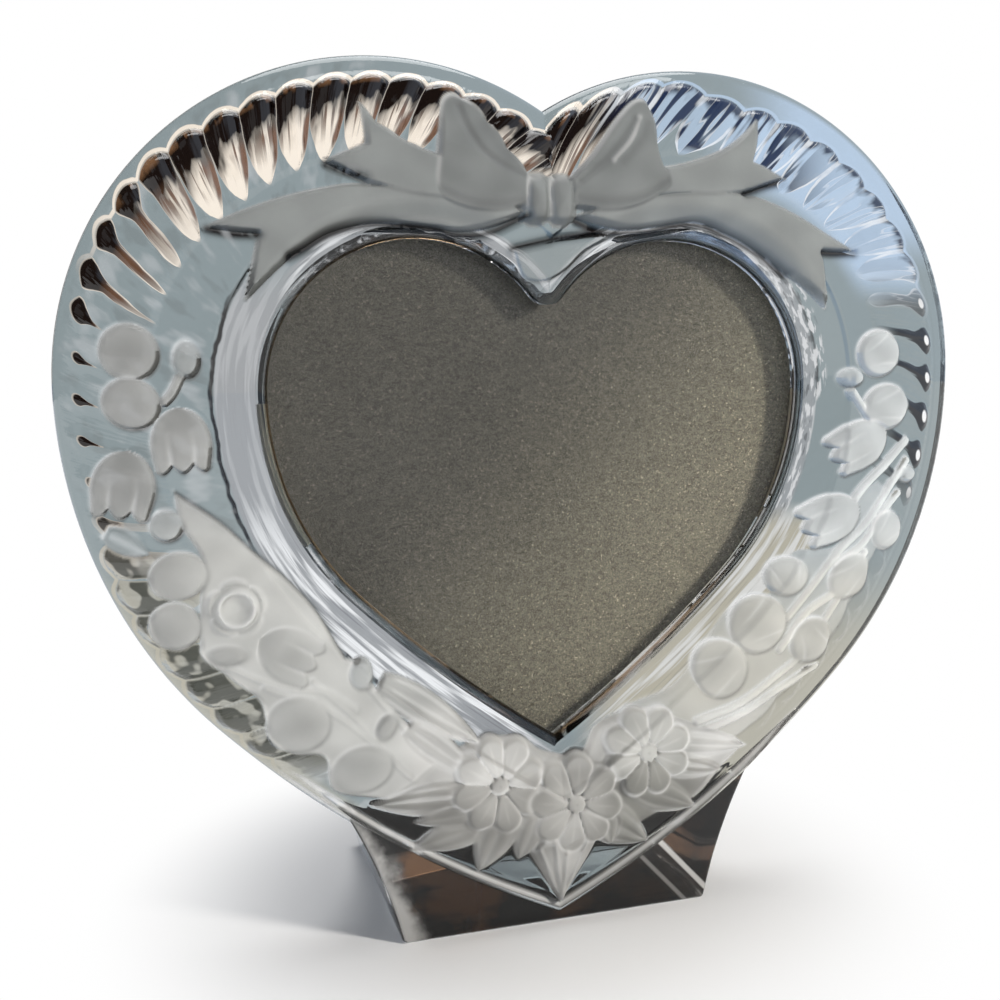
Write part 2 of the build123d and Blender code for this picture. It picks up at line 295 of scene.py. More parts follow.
class Relief:
    # front of the glass as a level over the plane of the outer edge
    def __init__(self, u, v):
        self.u, self.v = u, v
        self.edge = glassHeart.inset(u, v)
        self.reach = -windowHeart.inset(u, v)
        low = profile(section["outer"], self.edge)
        high = profile(section["inner"], self.reach)
        corner = section["merge"]
        share = np.clip(0.5 + 0.5 * (high - low) / corner, 0, 1)
        self.field = blend(high, low, share) - corner * share * (1 - share)
        self.plain = blend(self.field, low, ease(*section["plainSpan"], self.reach))
        self.level = self.field.copy()
        self.frost = np.zeros(u.shape)
        self.line = np.zeros(u.shape)
        self.tone = np.zeros(u.shape)

    def raiseFlutes(self):
        k, u, v = flutes, self.u, self.v
        left = u < 0
        low = zone("lowFlank", u, v) * left
        leftStart = blend(k["start"], k["startLeft"], zone("leftEdge", u, v))
        rightStart = blend(k["startCleft"], k["startRight"], zone("rightStart", u, v))
        self.inside = self.edge - blend(np.where(left, leftStart, rightStart), k["startLow"], low)
        lean = np.radians(k["lean"] + k["cleftLean"] * hump(u, k["cleftWidth"]) * (u >= 0))
        run = glassHeart.along(u, v) - 2 * glassHeart.halfRun * left + self.inside * np.tan(lean)
        self.turns = run / np.where(left, k["pitchLeft"], k["pitchRight"]) + k["phase"]
        far = np.clip(self.inside / k["depth"], 0.0, 1.0)
        self.slim = np.maximum(zone("leftSlim", u, v), zone("rightSlim", u, v)) * (1 - low)
        slimWidth = k["flankWidth"] * (1 - k["neck"] * ease(*k["neckSpan"], far)) * (1 - far ** 4)
        half = blend(k["width"] * (1 - far ** 5), slimWidth, self.slim) + k["leastWidth"]
        side = np.clip((self.turns % 1.0 - 0.5) / half, -1.0, 1.0)
        self.flute = zone("fluted", u, v) * ease(*section["fluteFree"], self.reach)
        rise = blend(k["rise"], k["rightRise"], zone("rightRise", u, v))
        rise = blend(rise, k["flankRise"], self.slim)
        end = ease(0.0, k["endRun"], self.inside - k["scallop"] * side ** 2)
        self.level += rise * (1 - side ** 2) * (1 - far) ** k["fall"] * end * self.flute

    def raiseRim(self):
        ridge = hump(self.edge - rimLine["inset"], rimLine["width"])
        self.level += rimLine["rise"] * ridge * zone("overFoot", self.u, self.v)

    def inBox(self, box):
        return (self.u > box[0]) & (self.u < box[2]) & (self.v > box[1]) & (self.v < box[3])

    def lay(self, shape, box, frost=1.0, soft=0.9, over=True, tone=0.0, rim=(0.5, -0.6), plain=False):
        # tone lightens or darkens the form, and rim gives painted highlight and shade to its edge towards the
        # light and away from it
        pick = self.inBox(box)
        u, v = self.u[pick], self.v[pick]
        gap, rise, marks = shape(u, v)
        cover = ease(edges["cover"], soft, gap)
        top = (self.plain if plain else self.field)[pick] + rise
        if not over:
            top = np.maximum(top, self.level[pick])
        self.level[pick] += (top - self.level[pick]) * cover
        inside = ease(*edges["plainFrost" if plain else "frost"], gap)
        self.frost[pick] += (frost - self.frost[pick]) * inside
        self.tone[pick] += (tone - self.tone[pick]) * inside
        way = edges["way"]
        lit = np.clip((shape(u + way[0], v + way[1])[0] - gap) / hypot(*way), -1, 1)
        mark = hump(gap - edges["line"], edges["lineWidth"])
        edgeTone = np.where(lit > 0, rim[0], -rim[1]) * lit
        self.line[pick] = self.line[pick] * (1 - np.maximum(cover, mark)) + edgeTone * mark + marks * inside
        self.flute[pick] *= 1 - ease(*edges["noFlutes"], gap)

    def score(self, line, width, depth, tone, clear=0.0):
        # groove along a line, painted dark as shade where its tone is low and light as a highlight where it
        # is high, that may lose its frost
        pick = self.inBox(around(line, 3 * width))
        mark = hump(lineGap(self.u[pick], self.v[pick], line), width)
        self.level[pick] -= depth * mark
        self.line[pick] += (tone - self.line[pick]) * mark
        self.frost[pick] *= 1 - clear * mark


def around(points, margin=1.5):
    p = np.array(points)
    return (*(p.min(0) - margin), *(p.max(0) + margin))


def near(place, reach):
    return (place[0] - reach, place[1] - reach, place[0] + reach, place[1] + reach)


leastHalf = 0.2  # mm, so that a pointed end has some width to divide by


def dome(r):
    # height of a round top over its share of the radius
    return np.sqrt(np.clip(1 - r * r, 0, 1))


def sheetShape(outline, rise, crown=0.0, crownRun=4.0, folds=()):
    # flat or crowned form, with folds given as lines with their depth, width and shade
    def shape(u, v):
        gap = outlineGap(u, v, outline)
        up, marks = rise + crown * ease(0.0, crownRun, gap), 0.0 * gap
        for line, depth, width, shade in folds:
            fold = hump(lineGap(u, v, line), width)
            up, marks = up - depth * fold, marks - shade * fold
        return gap, up, marks
    return shape


budForm = {"edge": 0.55, "shade": 0.1, "shadeRun": (0.9, 0.2),
           "seamRoot": 0.28, "seamBow": 0.5, "seamFrom": -0.9, "seamBend": 1.5,
           "seamRun": (-0.8, 0.1), "seamWidth": 0.3, "seamDepth": 0.15, "seamLight": 0.3}


def budShape(place, size, turn, rise, seams=2, power=2.0):
    # round bud with curved seams between its outer petals, squarer with a higher power
    k = budForm

    def shape(u, v):
        a, b = turned(u, v, place, turn)
        r = (np.abs(a / size[0]) ** power + np.abs(b / size[1]) ** power) ** (1 / power)
        up = k["edge"] + (rise - k["edge"]) * dome(r)
        marks = -k["shade"] * ease(*k["shadeRun"], r)
        for side in (-1, 1)[:seams]:
            t = np.clip((a / size[0] - k["seamFrom"]) / (1 - k["seamFrom"]), 0, 1)
            bend = size[1] * side * (k["seamRoot"] + k["seamBow"] * t ** k["seamBend"])
            seam = hump(b - bend, k["seamWidth"]) * ease(*k["seamRun"], a / size[0])
            up, marks = up - k["seamDepth"] * seam, marks + k["seamLight"] * seam
        return (1 - r) * min(size), up, marks
    return shape


tulipForm = {"edge": 0.5, "bowl": 0.55, "flare": 0.12, "mouth": 0.87, "points": 0.12, "pointTurns": 1.5,
             "rootRun": (-0.05, 0.35), "hollow": 0.9, "seamAt": 0.4, "seamWidth": 0.4,
             "seamRun": (0.25, 0.7), "seamDepth": 0.3, "seamLight": 0.35,
             "shade": 0.2, "shadeAcross": (0.9, 0.3), "shadeAlong": (0.9, 0.5)}


def tulipShape(place, length, width, turn, rise):
    # cup that opens along its turn, with three points at its mouth
    k = tulipForm

    def shape(u, v):
        a, b = turned(u, v, place, turn)
        t = a / length + 0.5
        bowl = dome(1 - np.clip(t, 0, k["bowl"]) / k["bowl"])
        half = width / 2 * np.where(t < k["bowl"], bowl, 1 - k["flare"] * ease(k["bowl"], 1.0, t))
        across = np.clip(b / (width / 2), -1, 1)
        mouth = k["mouth"] + k["points"] * np.abs(np.cos(k["pointTurns"] * pi * across))
        gap = np.minimum(half - np.abs(b), (mouth - t) * length)
        gap = np.where(t < 0, -np.hypot(t * length, b), gap)
        ratio = np.clip(np.abs(b) / np.maximum(half, leastHalf), 0, 1)
        up = k["edge"] + (rise - k["edge"]) * np.sqrt(1 - k["hollow"] * ratio ** 2) * ease(*k["rootRun"], t)
        seam = hump(np.abs(b) - k["seamAt"] * half, k["seamWidth"]) * ease(*k["seamRun"], t)
        shade = k["shade"] * ease(*k["shadeAcross"], ratio) * ease(*k["shadeAlong"], t)
        return gap, up - k["seamDepth"] * seam, k["seamLight"] * seam - shade
    return shape


daisyForm = {  # shares of the flower's radius, then levels and widths in mm, then tones
    "middle": 0.52, "half": 0.48, "wide": 0.36, "wideRun": (-0.05, 0.55), "slope": 0.33, "heart": 0.58,
    "crown": 0.4, "rootDrop": 0.3, "rootRun": (0.1, 0.5), "seamWidth": 0.4, "seamDepth": 0.25,
    "edgeAt": 0.3, "edgeWidth": 0.3, "bedDrop": 1.0, "buttonDrop": 0.5, "moat": 0.2, "moatWidth": 0.4,
    "veinWidth": 0.22, "vein": 0.3, "veinRun": (0.85, 0.6), "shade": 0.35, "shadeRun": (0.3, 0.8),
    "seamLight": 0.75, "buttonLight": 0.1, "buttonMiddleDark": 0.4, "buttonMiddleDarkRun": (0.3, 0.0),
    "outside": -9.0,  # before any petal is laid
}


def daisyShape(place, radius, petals, turn, rise, button):
    # petals round a button, with light edges and veins
    k = daisyForm

    def petal(a, b):
        wide = k["wide"] * radius * ease(*k["wideRun"], a / radius)
        r = np.hypot((a - k["middle"] * radius) / (k["half"] * radius), b / np.maximum(wide, leastHalf / 2))
        top = rise + k["crown"] * (dome(r) - 1) - k["rootDrop"] * (1 - ease(*k["rootRun"], a / radius))
        vein = k["vein"] * hump(b, k["veinWidth"]) * ease(*k["veinRun"], a / radius)
        return (1 - r) * k["slope"] * radius, top, vein - k["shade"] * ease(*k["shadeRun"], a / radius)

    def shape(u, v):
        gap, nextGap = np.full(u.shape, k["outside"]), np.full(u.shape, k["outside"])
        up, marks = np.zeros(u.shape), np.zeros(u.shape)
        for i in range(petals):
            one, top, vein = petal(*turned(u, v, place, turn + 360.0 * i / petals))
            first = one > gap
            nextGap = np.where(first, gap, np.maximum(nextGap, one))
            up, marks = np.where(first, top, up), np.where(first, vein, marks)
            gap = np.maximum(gap, one)
        r = np.hypot(u - place[0], v - place[1])
        seam = hump(gap - nextGap, k["seamWidth"]) + hump(gap - k["edgeAt"], k["edgeWidth"])
        marks = blend(marks, k["seamLight"], np.clip(seam, 0, 1))
        up = np.where(gap > 0.0, up - k["seamDepth"] * seam, rise - k["bedDrop"])
        knob = rise - k["buttonDrop"] + k["crown"] * dome(r / button)
        up = np.where(r < button, knob, up - k["moat"] * hump(r - button, k["moatWidth"]))
        # the button darker towards its middle
        marks = np.where(r < button, k["buttonLight"] - k["buttonMiddleDark"] * ease(*k["buttonMiddleDarkRun"], r / button), marks)
        return np.maximum(gap, k["heart"] * radius - r), up, marks
    return shape


cupForm = {"body": 0.82, "scallop": 0.18, "roundness": 0.6, "rise": 0.75,
           "petal": 0.25, "petalRun": (0.5, 0.9),
           "rimAt": 0.56, "rim": 0.75, "rimWidth": 0.55, "hollow": 0.8, "hollowRun": (0.1, 0.5),
           "moatAt": 0.74, "moat": 0.35, "moatWidth": 0.4, "light": 0.5, "lightWidth": 0.4,
           "darkAt": 0.78, "dark": 0.3, "darkWidth": 0.3}


def cupShape(place, radius, petals, turn, rise):
    # open rose: scalloped outer petals round a hollow cup with a raised rim, with a painted highlight on the
    # rim and painted shade just outside the moat
    k = cupForm

    def shape(u, v):
        a, b = turned(u, v, place, turn)
        r, way = np.hypot(a, b), np.arctan2(b, a)
        wave = np.abs(np.cos(way * petals / 2))
        gap = radius * (k["body"] + k["scallop"] * wave ** k["roundness"]) - r
        up = rise * k["rise"] + k["petal"] * wave * ease(*k["petalRun"], r / radius)
        up = up + k["rim"] * hump(r - k["rimAt"] * radius, k["rimWidth"])
        up = up - k["hollow"] * (1 - ease(*k["hollowRun"], r / radius))
        up = up - k["moat"] * hump(r - k["moatAt"] * radius, k["moatWidth"])
        light = k["light"] * hump(r - k["rimAt"] * radius, k["lightWidth"])
        return gap, up, light - k["dark"] * hump(r - k["darkAt"] * radius, k["darkWidth"])
    return shape


leafForm = {"root": 0.12, "belly": 0.85, "fullness": 0.8,
            "groove": 0.2, "grooveRun": (0.0, 0.15), "camber": 0.25, "light": 0.45,
            "shade": 0.2, "shadeRun": (1.0, 0.3)}


def leafShape(stalk, tip, width, rise, ribs):
    # leaf from its stalk to its point, with ribs that run along it
    k = leafForm
    run = (tip[0] - stalk[0], tip[1] - stalk[1])
    length, turn = hypot(*run), degrees(atan2(run[1], run[0]))
    middle = ((stalk[0] + tip[0]) / 2, (stalk[1] + tip[1]) / 2)

    def shape(u, v):
        a, b = turned(u, v, middle, turn)
        t = np.clip(a / length + 0.5, 0, 1)
        along = np.clip(k["root"] + (1 - k["root"]) * t, 0, 1)
        half = width / 2 * np.sin(pi * along ** k["belly"]) ** k["fullness"]
        gap = np.minimum(half - np.abs(b), length / 2 - np.abs(a))
        side = np.clip(b / np.maximum(half, leastHalf), -1, 1)
        rib = 0.5 * (1 + np.cos(side * pi * ribs)) * ease(*k["grooveRun"], t)
        up = rise * (1 - k["camber"] * side ** 2) - k["groove"] * rib
        return gap, up, k["light"] * rib ** 3 - k["shade"] * ease(*k["shadeRun"], np.abs(side))
    return shape


def stemShape(line, radius, rise):
    def shape(u, v):
        gap = radius - lineGap(u, v, line)
        return gap, rise * dome(1 - np.clip(gap / radius, 0, 1)), 0.0 * gap
    return shape


def join(*parts):
    return np.concatenate([np.atleast_2d(np.array(p, float)) for p in parts])


# Bow of a frosted ribbon: outlines in mm from the middle of the heart
bow = {
    "tailRise": 1.2,
    "tailLook": {"soft": 0.7, "tone": 0.12, "rim": (0.25, -0.5), "plain": True},
    "upperRise": 1.6,
    "upperLook": {"soft": 0.7, "tone": 0.05, "rim": (0.35, -0.5), "plain": True},
    "loopRise": 1.8,
    "loopCrown": 0.2,
    "loopRun": 5.0,
    "loopLook": {"soft": 0.7, "tone": -0.22, "rim": (0.6, -0.25), "plain": True},
    "knotRise": 3.0,
    "knotSquare": 3.6,  # power of the knot's rounded corners
    "knotLook": {"soft": 0.7, "tone": -0.1, "rim": (0.8, -0.5), "plain": True},
    "bedLook": {"rim": (0.0, 0.0), "plain": True},
    "lowerLeft": join(curve((-12, 54), (-32, 55.3), (-40, 54.5), (-47.3, 52.7), (-53.6, 50.5), (-59.5, 48)),
                      (-50.9, 47.1), (-53.4, 36.4),
                      curve((-53.4, 36.4), (-48.2, 41.4), (-43.6, 45), (-38.2, 48), (-30.9, 49.3),
                            (-20.9, 48.4), (-13.6, 48.4), (-4.5, 51))),
    "lowerRight": join(curve((12, 54), (29, 55.4), (37.3, 54.7), (42.7, 53.2), (48.2, 50.9), (54.5, 47.5),
                             (60, 44.6)),
                       (52.9, 44.7), (54.6, 34.2),
                       curve((54.6, 34.2), (50.9, 37.7), (46.4, 41), (40.9, 45), (34.5, 48.2), (28.2, 50.3),
                             (20.9, 49.5), (13.6, 48.8), (4.0, 50.5))),
    "upperLeft": join(curve((-14, 60), (-20.5, 60.5), (-26.4, 62.7), (-30.9, 65.5), (-33.6, 68.4)),
                      curve((-33.6, 68.4), (-33.2, 65), (-32.8, 61.9)),
                      curve((-39.8, 58.9), (-33.6, 55.9), (-27.3, 54.1), (-20.5, 53.2), (-12, 52.6))),
    "upperRight": join(curve((14, 58.5), (21.8, 59.4), (26.4, 60.4), (31.8, 62.3), (36, 65), (39.6, 68.2)),
                       curve((39.6, 68.2), (39.3, 64), (38.4, 60.7)),
                       curve((45.3, 57.7), (40, 56.0), (37.3, 55.2), (30.9, 54.6), (21.8, 54.3), (12, 53))),
    "loopLeft": curve((-3.5, 56.5), (-8, 61.6), (-11.2, 66), (-14.4, 69.3), (-17.6, 70.6), (-19.6, 69.2),
                      (-20.1, 65), (-20.6, 60), (-21, 56), (-20, 53.4), (-16.5, 51.9), (-12.5, 51.2),
                      (-8.5, 51.4), (-3.5, 52.6)),
    "loopRight": curve((3.0, 57), (6.5, 60.4), (9.5, 64.2), (12.6, 68), (15.8, 70.9), (18.2, 70.6),
                       (19.4, 67), (19.8, 62), (21.6, 57.4), (21, 55.4), (16, 52.6), (10, 51.4), (3.0, 52)),
    "knotLobes": [((-3.25, 53.4), (1.95, 4.2)), ((1.2, 53.2), (2.15, 4.3))],
    "knotBed": join((-6.0, 49.6), (-5.6, 57.0), (3.8, 57.0), (4.2, 49.6)),
    "folds": {  # lines with their depth, width and shade
        "loopLeft": [(curve((-20.5, 54.6), (-16.4, 53.0), (-11.0, 52.3), (-5.4, 52.8)), 0.5, 0.7, 0.5),
                     (curve((-16.6, 68.6), (-15.4, 65.2), (-12.9, 61.4), (-9.1, 58.7), (-5.7, 57.3)),
                      0.45, 0.7, 0.6),
                     (curve((-12.0, 65.3), (-10.2, 62.5), (-8.3, 60.1)), 0.25, 1.6, 0.4)],
        "loopRight": [(curve((4.6, 56.6), (9.0, 60.2), (12.6, 64.0), (15.2, 67.4)), 0.45, 0.8, 0.5),
                      (curve((10.8, 60.2), (14.1, 63.6), (16.1, 67.7)), -0.25, 0.6, -0.5),
                      (curve((12.2, 60.0), (15.6, 63.4), (17.4, 66.6)), 0.2, 0.9, 0.4),
                      (curve((4.4, 53.6), (10.0, 53.2), (16.0, 54.2), (21.0, 57.0)), 0.4, 0.8, 0.5)]},
}

# Garland: buds as place, size, turn and rise, tulips as place, length, width, turn and rise
garland = {
    "budSeams": {"left": 0, "right": 2},
    "budLook": {"left": {"tone": -0.2, "rim": (0.45, -0.7)}, "right": {"tone": -0.28, "rim": (1.0, -0.6)}},
    "buds": [
        ((-72.2, 28.2), (5.0, 4.7), -30, 1.9), ((-72.3, 19.9), (4.9, 4.3), -20, 1.9),
        ((-66.3, -8.6), (4.1, 5.0), -80, 1.8), ((-67.3, -17.2), (4.4, 4.3), -60, 1.7),
        ((-59.2, -22.6), (3.6, 1.9), 0, 1.9), ((-47.7, -35.8), (5.4, 5.6), -90, 1.9),
        ((-36.9, -45.0), (5.6, 4.6), 200, 1.7), ((-32.6, -37.6), (2.8, 1.9), 60, 1.9),
        ((65.4, 25.5), (4.7, 4.6), 20, 1.9), ((67.2, 15.2), (5.2, 4.5), 10, 1.9),
        ((68.2, -9.0), (4.0, 4.1), 40, 1.7), ((59.6, -17.4), (5.2, 4.3), 215, 1.7),
        ((46.2, -16.6), (3.8, 4.4), 100, 1.7), ((40.0, -25.4), (6.0, 5.6), 30, 1.9),
        ((51.3, -29.4), (4.6, 5.0), -60, 1.9), ((32.0, -33.4), (5.6, 5.8), 210, 1.8),
    ],
    "berryLook": {"frost": 0.55, "rim": (0.8, -0.8)},
    "berries": [((-63.3, 26.8), (2.4, 3.3), 0, 2.1), ((-67.8, -0.2), (2.9, 2.8), 0, 2.0),
                ((-36.6, -27.8), (2.3, 3.0), 0, 2.1), ((59.8, 21.0), (2.5, 1.9), 0, 2.0),
                ((72.8, 1.9), (2.3, 1.8), 0, 1.9)],
    "tulipLook": {"left": {"tone": -0.15, "rim": (0.5, -0.7)}, "right": {"tone": -0.25, "rim": (1.0, -0.7)}},
    "tulips": [((-64.8, 13.6), 11.0, 10.0, -88, 1.9), ((-74.2, 6.6), 11.6, 10.6, -100, 1.9),
               ((-49.0, -23.2), 11.0, 9.6, -30, 1.7),
               ((61.6, 8.0), 12.5, 9.6, 205, 1.9), ((55.6, -6.0), 12.5, 9.6, 200, 1.9)],
    "rose": ((-57.3, -14.6), 5.2, 5, 20.0, 2.0),  # place, radius, petals, turn, rise
    "roseLook": {"rim": (0.6, 0.2)},
    "clearLeaf": ((-77.6, -0.9), (-70.6, -5.0), 4.6, 1.4, 1),  # stalk, tip, width, rise, ribs
    "clearLeafLook": {"frost": 0.15, "rim": (0.8, -0.9)},
    "stemRadius": 0.95,
    "stemRise": 1.25,
    "stemLook": {"soft": 0.5, "rim": (0.5, -0.15), "over": False},
    "stems": [
        [(-64.6, 23.8), (-65.8, 21.5), (-67.0, 20.2)],
        [(-35.4, -30.4), (-31.2, -36.0), (-26.0, -42.0), (-21, -46)],
        [(-45, -28.5), (-39, -34.5), (-33, -42), (-27, -49)],
        [(-59, -24.8), (-51, -28.8), (-43, -30.4), (-38, -34)],
        [(-53, -29), (-44, -33), (-37, -38.5), (-29, -47)],
        [(72, 8.5), (66.5, 3.4), (61, -1.8), (57, -9)],
        [(72.4, 4.6), (67.5, -1.4), (62.6, -7.6), (57, -12.4), (51.5, -18.6), (46, -24.5)],
        [(70.6, -1.8), (66.2, -6), (62, -11.6), (56, -14.6)],
        [(63, -13), (57.5, -19.5), (50, -24), (44.5, -30.6)],
        [(57, -21.8), (49.6, -31.8), (43.6, -36), (36, -40.4), (27, -43)],
        [(53, -35), (45, -38.5), (37, -42.4), (28, -45)],
        [(59.8, 18.4), (62, 15.4), (64, 13)],
    ],
    "leafField": join(curve((-66.4, 5.6), (-59.2, 0.2), (-53.8, -5.4), (-48.5, -10.4), (-43.8, -16.2),
                            (-39.2, -24.8)),
                      curve((-37.5, -25.4), (-33.5, -31.5), (-27, -39), (-17, -44.5), (-12, -52),
                            (-20, -56), (-33, -51.5), (-41.8, -49), (-43.4, -42.2), (-49.6, -41), (-53, -35),
                            (-54.5, -30.6), (-62.6, -23.4), (-63.4, -20), (-63, -12), (-62.5, -6), (-66, 0))),
    "leafEdge": curve((-66.0, 5.2), (-59.2, 0.0), (-53.8, -5.6), (-48.5, -10.6), (-43.8, -16.4),
                      (-39.4, -24.6)),
    "leafEdgeCut": {"width": 0.4, "depth": 0.25, "tone": -0.75},
    "leafFieldRise": 1.0,
    "leafFieldLook": {"soft": 0.8},
    "rightField": curve((66, 1), (60, -2), (57, -11), (48, -12), (43, -19.6), (34.5, -22.6), (28.6, -29.6),
                        (22.4, -36), (13, -40), (12, -48), (26, -50), (38, -46.4), (47, -38.6), (56, -30),
                        (64, -16), (70, -4), (66, 1)),
    "rightFieldRise": 0.55,
    "rightFieldLook": {"frost": 0.3, "soft": 1.6, "rim": (0.2, -0.2)},
}

# Daisies and the leaves under them
daisies = {
    "flowers": [((-12.2, -50.8), 9.6, 8, 12.0), ((16.8, -47.8), 9.2, 8, 20.0), ((2.4, -56.0), 9.6, 8, 36.0)],
    "rise": 1.75,
    "button": 1.7,
    "flowerLook": {"rim": (0.6, 0.3)},
    "bedRise": 0.5,
    "bed": curve((-34, -52), (-20, -43), (-8, -42.6), (-3, -46), (4, -47.4), (8, -42), (17, -39.6),
                 (25, -42.6), (37, -48.4), (33, -53.6), (27.6, -59), (19, -61), (14, -63), (8.6, -62.4)),
    "bedLook": {"soft": 1.4, "tone": -0.3, "rim": (0.0, 0.0)},
    "leafRise": 1.2,
    "leafRibs": 3,
    "leafLook": {"tone": -0.2, "rim": (0.6, 0.4)},
    "leaves": [  # stalk, tip, width
        ((-16.0, -52.4), (-35.6, -52.4), 7.0), ((-13.0, -57.0), (-28.6, -62.2), 7.2),
        ((-13.5, -55.0), (-28.0, -56.6), 5.4), ((-10.5, -55.0), (-15.8, -67.8), 8.2),
        ((-5.0, -57.0), (-8.6, -66.0), 6.4), ((4.0, -57.0), (18.0, -66.4), 8.6),
        ((14.0, -54.0), (28.0, -60.8), 7.0), ((19.0, -50.0), (33.4, -53.8), 5.4),
        ((20.0, -46.4), (38.6, -49.6), 4.8), ((8.0, -58.0), (9.5, -65.5), 6.0),
        ((-33.4, -29.6), (-15.0, -43.0), 6.6), ((-29, -38), (-16, -49), 6.0),
    ],
    "star": join(curve((-8.6, -61.0), (-5.6, -66.5), (0.0, -76.2)),
                 curve((0.0, -76.2), (5.4, -67.0), (7.6, -62.0)),
                 curve((7.6, -62.0), (0.0, -57.5), (-8.6, -61.0))),
    "starCrown": 0.5,
    "starRun": 3.0,
    "ribRoot": (0.0, -75.4),
    "ribEnds": [(-5.4, -62.5), (-2.4, -60.5), (0.6, -60.0), (4.6, -62.5)],
    "rib": (-0.35, 0.4, -0.28),  # depth, width and shade
}

# Grooves along the ribbon's lower edges, painted black as shade under the edges, and the clear drop under the
# knot
grooves = {
    "cut": {"width": 0.85, "depth": 0.7, "tone": -1.0, "clear": 1.0},
    "lines": [curve((-46, 43.4), (-43.6, 44.6), (-38.2, 47.5), (-30.8, 49.0), (-21.4, 48.5), (-16.7, 47.5),
                    (-11.2, 47.8), (-5.0, 50.5)),
              curve((4.5, 49.8), (8.3, 48.5), (12.2, 48.0), (18.7, 48.4), (28.2, 49.6), (34.5, 47.7),
                    (40.9, 44.5), (46.4, 40.5)),
              curve((-39.4, 58.4), (-36.5, 57.4), (-33.2, 56.4)),
              curve((44.4, 57.2), (40.5, 56.2), (37.0, 55.0)),
              curve((-59, 47.7), (-55, 47.0), (-51, 46.9)), curve((60, 44.4), (56, 44.3), (53, 44.5)),
              curve((-6.8, 45.2), (0.8, 46.8), (8.5, 48.0))],
    "drop": curve((-6.8, 45.2), (-5.9, 42.0), (-4.4, 39.7), (-0.6, 39.4), (3.2, 41.4), (6.5, 44.4),
                  (11.7, 47.4), (8.5, 48.0), (0.8, 46.8), (-6.8, 45.2)),
    "dropRise": 0.9,
    "dropLook": {"frost": 0.2},
}

print("outlines ready")


# Room round each form within which its carving is worked out, in mm
room = {"stem": 3.0, "clearLeaf": 4.0, "leaf": 5.0, "bud": 8.0, "berry": 5.0, "flower": 2.0, "knot": 7.0}


def hand(place):
    return "right" if place[0] > 0 else "left"


def carveGarland(relief):
    g = garland
    for name in ("rightField", "leafField"):
        relief.lay(sheetShape(g[name], g[name + "Rise"]), around(g[name]), **g[name + "Look"])
    relief.score(g["leafEdge"], **g["leafEdgeCut"])
    for points in g["stems"]:
        line = curve(*points)
        stem = stemShape(line, g["stemRadius"], g["stemRise"])
        relief.lay(stem, around(line, room["stem"]), **g["stemLook"])
    ends = g["clearLeaf"][:2]
    relief.lay(leafShape(*g["clearLeaf"]), around(ends, room["clearLeaf"]), **g["clearLeafLook"])
    for place, *form in g["buds"]:
        bud = budShape(place, *form, g["budSeams"][hand(place)])
        relief.lay(bud, near(place, room["bud"]), **g["budLook"][hand(place)])
    for place, *form in g["berries"]:
        relief.lay(budShape(place, *form, 0), near(place, room["berry"]), **g["berryLook"])
    for place, length, *form in g["tulips"]:
        tulip = tulipShape(place, length, *form)
        relief.lay(tulip, near(place, length), **g["tulipLook"][hand(place)])
    place, radius, *form = g["rose"]
    relief.lay(cupShape(place, radius, *form), near(place, radius + room["flower"]), **g["roseLook"])


def carveDaisies(relief):
    d = daisies
    relief.lay(sheetShape(d["bed"], d["bedRise"]), around(d["bed"]), **d["bedLook"])
    ribs = [(np.array([d["ribRoot"], end]), *d["rib"]) for end in d["ribEnds"]]
    star = sheetShape(d["star"], d["leafRise"], d["starCrown"], d["starRun"], ribs)
    relief.lay(star, around(d["star"]), **d["leafLook"])
    for stalk, tip, width in d["leaves"]:
        leaf = leafShape(stalk, tip, width, d["leafRise"], d["leafRibs"])
        relief.lay(leaf, around([stalk, tip], room["leaf"]), **d["leafLook"])
    for place, radius, petals, turn in d["flowers"]:
        flower = daisyShape(place, radius, petals, turn, d["rise"], d["button"])
        relief.lay(flower, near(place, radius + room["flower"]), **d["flowerLook"])


def carveBow(relief):
    b = bow
    drop = sheetShape(grooves["drop"], grooves["dropRise"])
    relief.lay(drop, around(grooves["drop"]), **grooves["dropLook"])
    for row, look in (("lower", "tail"), ("upper", "upper")):
        for name in (row + "Left", row + "Right"):
            relief.lay(sheetShape(b[name], b[look + "Rise"]), around(b[name]), **b[look + "Look"])
    relief.lay(sheetShape(b["knotBed"], b["upperRise"]), around(b["knotBed"]), **b["bedLook"])
    for name, folds in b["folds"].items():
        loop = sheetShape(b[name], b["loopRise"], b["loopCrown"], b["loopRun"], folds)
        relief.lay(loop, around(b[name]), **b["loopLook"])
    for place, size in b["knotLobes"]:
        lobe = budShape(place, size, 0, b["knotRise"], 0, b["knotSquare"])
        relief.lay(lobe, near(place, room["knot"]), **b["knotLook"])
    for line in grooves["lines"]:
        relief.score(line, **grooves["cut"])


def carveFront(u, v):
    relief = Relief(u, v)
    relief.raiseFlutes()
    relief.raiseRim()
    carveGarland(relief)
    carveDaisies(relief)
    carveBow(relief)
    return relief


# Foot under the heart: half widths, heights and depths in mm, counts of loops, and the haze on its face
foot = {"halfTop": 39.5, "halfBottom": 30.0, "waist": 1.0, "height": 25.5, "front": 1.2, "reach": 47.0,
        "rearHeight": 5.0, "hollow": 5.0, "edge": 0.8, "edgeSteps": 3, "sharpOver": 40.0,
        "depthLoops": 40, "sideLoops": 14, "haze": 0.10}


def circleThrough(a, b, c):
    # middle and radius of the circle through three points
    (ax, ay), (bx, by), (cx, cy) = a, b, c
    sizeA, sizeB, sizeC = (x * x + y * y for x, y in (a, b, c))
    d = 2 * (ax * (by - cy) + bx * (cy - ay) + cx * (ay - by))
    x = (sizeA * (by - cy) + sizeB * (cy - ay) + sizeC * (ay - by)) / d
    y = (sizeA * (cx - bx) + sizeB * (ax - cx) + sizeC * (bx - ax)) / d
    return x, y, hypot(ax - x, ay - y)


